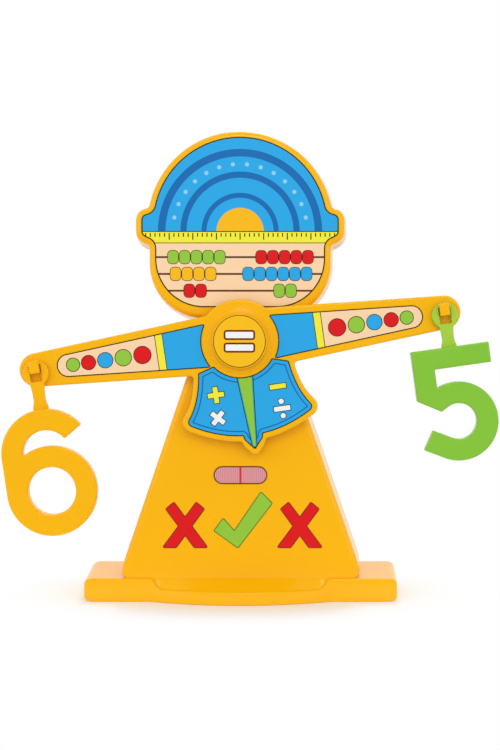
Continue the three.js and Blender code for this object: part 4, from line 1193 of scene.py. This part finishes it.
# %% Lower panel print
HUB_PRINT, PRINT_MARGIN, PRINT_CORNER = 29.0, 4.5, 1.2
LINE_OUTER, LINE_INNER = 3.2, 4.2
SIGN, SIGN_STROKE, SIGN_DOT, DOT_RISE = 13.0, 3.8, 2.1, 5.8
PLUS, MINUS, TIMES, DIVIDE = (-25, -40), (25, -40), (-26, -58.5), (26, -58)
NEEDLE, NEEDLE_LINE, NEEDLE_EDGE = [(5.4, -27), (0.8, -84.5)], 1.5, 0.9
torso_sheet = soften(mirrored(
    arc(0, 0, HUB_PRINT, -90, -36), torso_side(PRINT_MARGIN),
    [(7.25, 1 - HEM_DROP), (0, PRINT_MARGIN - POINTER_DROP)],
), PRINT_CORNER)
needle = mirrored(NEEDLE)
plus, times = [
    union(bar(*spot, SIGN, SIGN_STROKE, turn), bar(*spot, SIGN, SIGN_STROKE, turn - 90))
    for spot, turn in ((PLUS, 90), (TIMES, 45))
]
minus = bar(*MINUS, SIGN, SIGN_STROKE)
divide = [
    bar(*DIVIDE, SIGN, SIGN_STROKE),
    *[circle(DIVIDE[0], DIVIDE[1] + rise, SIGN_DOT, 0.4) for rise in (DOT_RISE, -DOT_RISE)],
]
torso_inks = [
    ("blue", []), ("deep_blue", [offset(torso_sheet, -LINE_OUTER)]),
    ("blue", [offset(torso_sheet, -LINE_INNER)]),
    *outlined("lemon", [plus, minus]), *outlined("white", [times, *divide]),
    ("black", [offset(needle, NEEDLE_LINE)]), ("teal", [offset(needle, NEEDLE_EDGE)]), ("green", [needle]),
]
torso_print = tilted(print_sheet("torso_print", torso_sheet, BEAM_FRONT, torso_inks))
declare(torso_print, "beam", "label_blue", "torso_label")

# %% [markdown]
# Each arm has a blue field at its root, a lemon stripe, and round counters that get smaller with the arm.

# %% Arm prints
ARM_INNER, ARM_OUTER, ARM_MARGIN, ARM_PRINT_CORNER = 30.8, 147.5, 5.5, 1.5
FIELD, STRIPE, STRIPE_LINE, PAST_ARM = (20, 61), (61, 66.5), 0.6, 30
COUNTERS = [
    (78.5, 6.7, "red"), (94, 6.3, "green"), (108.5, 5.9, "blue"), (122, 5.5, "red"), (134.5, 5.1, "green"),
]


def arm_sheet(side):
    start, end = [ARM_ROOT - ARM_TAPER * x - ARM_MARGIN for x in (ARM_INNER, ARM_OUTER)]
    spread = math.degrees(math.asin(start / ARM_INNER))
    shape = outline(arc(0, 0, ARM_INNER, spread, -spread), arc(ARM_OUTER - end, 0, end, -90, 90))
    return soften(outline(shape * [side, 1]), ARM_PRINT_CORNER)


for side, name in ((-1, "left_arm"), (1, "right_arm")):
    field, stripe = [sorted((side * near, side * far)) for near, far in (FIELD, STRIPE)]
    edged = (stripe[0] - STRIPE_LINE, stripe[1] + STRIPE_LINE)
    arm_inks = [
        ("peach", []), ("blue", [box(*field, -PAST_ARM, PAST_ARM)]),
        ("black", [box(*edged, -PAST_ARM, PAST_ARM)]), ("lemon", [box(*stripe, -PAST_ARM, PAST_ARM)]),
    ]
    for x, radius, ink in COUNTERS:
        arm_inks += outlined(ink, [circle(side * x, 0, radius)])
    arm_print = tilted(print_sheet(name + "_print", arm_sheet(side), BEAM_FRONT, arm_inks))
    declare(arm_print, "beam", "label_peach", name + "_label")

# %% [markdown]
# The knob carries a plain equals sign, white with a dark red edge. On the panel a pink scale with a red
# middle line shows when the beam is level, and a tick between two crosses says right or wrong.

# %% Knob and scale prints
KNOB_PRINT, EQUALS_LENGTH, EQUALS_STROKE, EQUALS_RISE = 20.8, 22, 5, 5
SCALE_WIDTH, SCALE_HEIGHT, SCALE_Z, MIDDLE_HALF, MIDDLE_REACH = 43.6, 14.7, 103.2, 1.15, 8
equals = [
    soften(bar(0, PIVOT_HEIGHT + rise, EQUALS_LENGTH, EQUALS_STROKE), 1)
    for rise in (-EQUALS_RISE, EQUALS_RISE)
]
knob_inks = [("amber", []), *outlined("white", equals, 1.5, "maroon")]
knob_print = print_sheet("knob_print", circle(0, PIVOT_HEIGHT, KNOB_PRINT), KNOB_FRONT, knob_inks, 0.5)
declare(knob_print, "stand", "label_yellow", "knob_label")

end_radius, end_x = SCALE_HEIGHT / 2, (SCALE_WIDTH - SCALE_HEIGHT) / 2
scale_sheet = outline(
    arc(end_x, SCALE_Z, end_radius, -90, 90), arc(-end_x, SCALE_Z, end_radius, 90, 270),
)
middle_line = box(-MIDDLE_HALF, MIDDLE_HALF, SCALE_Z - MIDDLE_REACH, SCALE_Z + MIDDLE_REACH)
scale_inks = [("pink", []), ("red", [middle_line])]
scale_print = print_sheet("scale_print", scale_sheet, FRONT, scale_inks, 1.0, "brown")
declare(scale_print, "stand", "label_pink", "scale_label")

# %% Tick and crosses
TICK = [(-21.2, 57.8), (-14.1, 67.7), (-5.0, 57.3), (16.7, 89.2), (25.5, 80.2), (-2.2, 44.0)]
CROSS_STROKE = outline([(-18, -18.3), (-7.5, -18.3), (15.4, 13.0), (9.1, 18.3)])
CROSSES = {"left_cross_print": (-45, 62.5), "right_cross_print": (48.2, 62.5)}
MARK_CORNER, MARK_LINE, MARK_THICKNESS = 0.8, 0.7, 0.12
cross = union(CROSS_STROKE, outline(CROSS_STROKE * [-1, 1]))
marks = [("tick_print", outline(TICK), "green", "moss")]
marks += [(name, cross + place, "red", "maroon") for name, place in CROSSES.items()]
for name, shape, ink, line_ink in marks:
    shape = offset(soften(shape, MARK_CORNER), MARK_LINE)
    mark = print_sheet(name, shape, FRONT, [(ink, [])], MARK_LINE, line_ink, MARK_THICKNESS, 0)
    declare(mark, "stand", "label_pink")

# %% [markdown]
# The fine lines of the scale repeat, and their height follows the rounded ends, which is a rule that nodes
# can hold: a row of points, and at each one a strip as tall as the scale is there. The sums are listed in
# the order in which one feeds the next, each with a name, and a loop adds a Math node for each.

# %% Scale lines
LINE_COUNT, LINE_PITCH, LINE_WIDTH, LINE_THICKNESS, LINE_END, LINE_RISE = 26, 1.55, 0.5, 0.04, 1.1, 0.37
SUMS = [
    ("gaps", "SUBTRACT", "Count", 1.0), ("half gaps", "DIVIDE", "gaps", 2.0),
    ("step", "SUBTRACT", "Index", "half gaps"), ("across", "MULTIPLY", "step", "Pitch"),
    ("distance", "ABSOLUTE", "across"), ("past", "SUBTRACT", "distance", "Reach"),
    ("into end", "MAXIMUM", "past", 0.0), ("share", "DIVIDE", "into end", "Radius"),
    ("squared", "POWER", "share", 2.0), ("rest", "SUBTRACT", 1.0, "squared"), ("rise", "SQRT", "rest"),
    ("half height", "MULTIPLY", "rise", "Radius"), ("height", "MULTIPLY", "half height", 2.0),
]
line_tree, line_in = new_tree(
    "scale lines", Count="Int", Pitch="Float", Reach="Float", Radius="Float", Width="Float",
    Finish="Material",
)
found = {name: line_in[name] for name in ("Count", "Pitch", "Reach", "Radius")}
found["Index"] = add(line_tree, "GeometryNodeInputIndex").outputs[0]
for name, operation, *terms in SUMS:
    inputs = {i: found.get(term, term) for i, term in enumerate(terms)}
    found[name] = add(line_tree, "ShaderNodeMath", inputs, operation=operation).outputs[0]
row = add(line_tree, "GeometryNodeMeshLine", {"Count": line_in["Count"]})
spot = add(line_tree, "ShaderNodeCombineXYZ", {"X": found["across"]})
spread_row = add(line_tree, "GeometryNodeSetPosition", {
    "Geometry": row.outputs["Mesh"], "Position": spot.outputs["Vector"],
})
strip_size = add(line_tree, "ShaderNodeCombineXYZ", {
    "X": line_in["Width"], "Y": LINE_THICKNESS * MM, "Z": found["height"],
})
strip = add(line_tree, "GeometryNodeMeshCube", {"Size": (1, 1, 1)})
close_tree(line_tree, line_in["Finish"], {
    "Points": spread_row.outputs["Geometry"], "Instance": strip.outputs["Mesh"],
    "Scale": strip_size.outputs["Vector"],
})
scale_lines = grown("scale_lines", line_tree, [(0, 0, 0)], {
    "Count": LINE_COUNT, "Pitch": LINE_PITCH * MM, "Reach": end_x * MM,
    "Radius": (end_radius - LINE_END) * MM, "Width": LINE_WIDTH * MM, "Finish": INK["rose"],
})
scale_lines.data.transform(Matrix.Translation((0, (FRONT - LINE_RISE) * MM, SCALE_Z * MM)))
declare(scale_lines, "stand", "label_pink")

# %% [markdown]
# ## Studio
# The picture was taken in a white studio with large soft lamps. The floor is white paper that keeps the
# shadow, and further out it runs into the white of the backdrop without a line. What the eye sees, in a
# mirror or through glass too, is this white. The light that falls on the object is plainer: soft lamps and
# an even glow of the room.

# %% Floor
SHADOW_FROM, SHADOW_END, SHADOW_NARROW = 0.05, 0.11, 0.5
FLOOR_FRONT, FLOOR_BACK, FLOOR_HALF = -0.13, 4.0, 3.0


def looked_at(tree):
    path = add(tree, "ShaderNodeLightPath").outputs
    mirrored_too = add(tree, "ShaderNodeMath", {
        0: path["Is Camera Ray"], 1: path["Is Glossy Ray"],
    }, operation="MAXIMUM")
    return add(tree, "ShaderNodeMath", {
        0: mirrored_too.outputs[0], 1: path["Is Transmission Ray"],
    }, operation="MAXIMUM").outputs[0]


paper_material, floor_tree, floor_place = blank_material("studio_paper")
narrowed = add(floor_tree, "ShaderNodeMapping", {"Vector": floor_place, "Scale": (SHADOW_NARROW, 1, 1)})
from_middle = add(floor_tree, "ShaderNodeVectorMath", {0: narrowed.outputs["Vector"]}, operation="LENGTH")
far_out = add(floor_tree, "ShaderNodeMapRange", {
    "Value": from_middle.outputs["Value"], "From Min": SHADOW_FROM, "From Max": SHADOW_END,
}, interpolation_type="SMOOTHSTEP")
backdrop_share = add(floor_tree, "ShaderNodeMath", {
    0: far_out.outputs["Result"], 1: looked_at(floor_tree),
}, operation="MULTIPLY")
paper = add(floor_tree, "ShaderNodeBsdfDiffuse", {"Color": linear("#fefcf9")})
backdrop = add(floor_tree, "ShaderNodeEmission", {"Color": (1, 1, 1, 1), "Strength": 1.0})
floor_mix = add(floor_tree, "ShaderNodeMixShader", {
    0: backdrop_share.outputs[0], 1: paper.outputs[0], 2: backdrop.outputs[0],
})
add(floor_tree, "ShaderNodeOutputMaterial", {"Surface": floor_mix.outputs[0]})

floor_data = bpy.data.meshes.new("floor")
floor_data.from_pydata([
    (-FLOOR_HALF, FLOOR_FRONT, 0), (FLOOR_HALF, FLOOR_FRONT, 0),
    (FLOOR_HALF, FLOOR_BACK, 0), (-FLOOR_HALF, FLOOR_BACK, 0),
], [], [(0, 1, 2, 3)])
floor_data.materials.append(paper_material)
floor = placed("floor", floor_data)
print("floor is", 2 * FLOOR_HALF, "m wide")

# %% World
ROOM_GLOW, BEHIND_CAMERA, DIM_BEHIND, WHITE_AHEAD = 0.71, 0.12, -0.55, 0.3
world = bpy.data.worlds.new("studio")
bpy.context.scene.world = world
world.use_nodes = True
world_tree = world.node_tree
world_tree.nodes.clear()
direction = add(world_tree, "ShaderNodeTexCoord").outputs["Generated"]
axes = add(world_tree, "ShaderNodeSeparateXYZ", {"Vector": direction})
towards_backdrop = add(world_tree, "ShaderNodeMapRange", {
    "Value": axes.outputs["Y"], "From Min": DIM_BEHIND, "From Max": WHITE_AHEAD,
    "To Min": BEHIND_CAMERA, "To Max": 1.0,
}, interpolation_type="SMOOTHSTEP")
to_camera = add(world_tree, "ShaderNodeLightPath").outputs["Is Camera Ray"]
seen_white = add(world_tree, "ShaderNodeMath", {
    0: towards_backdrop.outputs["Result"], 1: to_camera,
}, operation="MAXIMUM")
room_light = add(world_tree, "ShaderNodeBackground", {"Color": (1, 1, 1, 1), "Strength": ROOM_GLOW})
white = add(world_tree, "ShaderNodeBackground", {"Color": (1, 1, 1, 1), "Strength": seen_white.outputs[0]})
world_mix = add(world_tree, "ShaderNodeMixShader", {
    0: looked_at(world_tree), 1: room_light.outputs[0], 2: white.outputs[0],
})
add(world_tree, "ShaderNodeOutputWorld", {"Surface": world_mix.outputs[0]})
print("the room glows at", ROOM_GLOW)

# %% Lamps
LAMP_AIM = Vector((0, 0, 0.18))
LAMPS = [
    ("left", (-1.5, -1.3, 0.7), 1.5, 8.0), ("right", (1.5, -1.3, 0.7), 1.5, 7.0),
    ("front", (0.05, -1.7, 1.3), 0.6, 5.0), ("back", (0.2, 1.2, 1.7), 0.9, 10.0),
]
for name, spot, size, watts in LAMPS:
    lamp_data = bpy.data.lights.new(name, "AREA")
    lamp_data.size = size
    lamp_data.energy = watts
    lamp = placed(name, lamp_data)
    lamp.location = spot
    lamp.rotation_euler = (LAMP_AIM - Vector(spot)).to_track_quat("-Z", "Y").to_euler()
    lamp.visible_camera = False
bpy.context.scene.view_settings.view_transform = "Standard"
print("lamps:", [name for name, *_ in LAMPS])
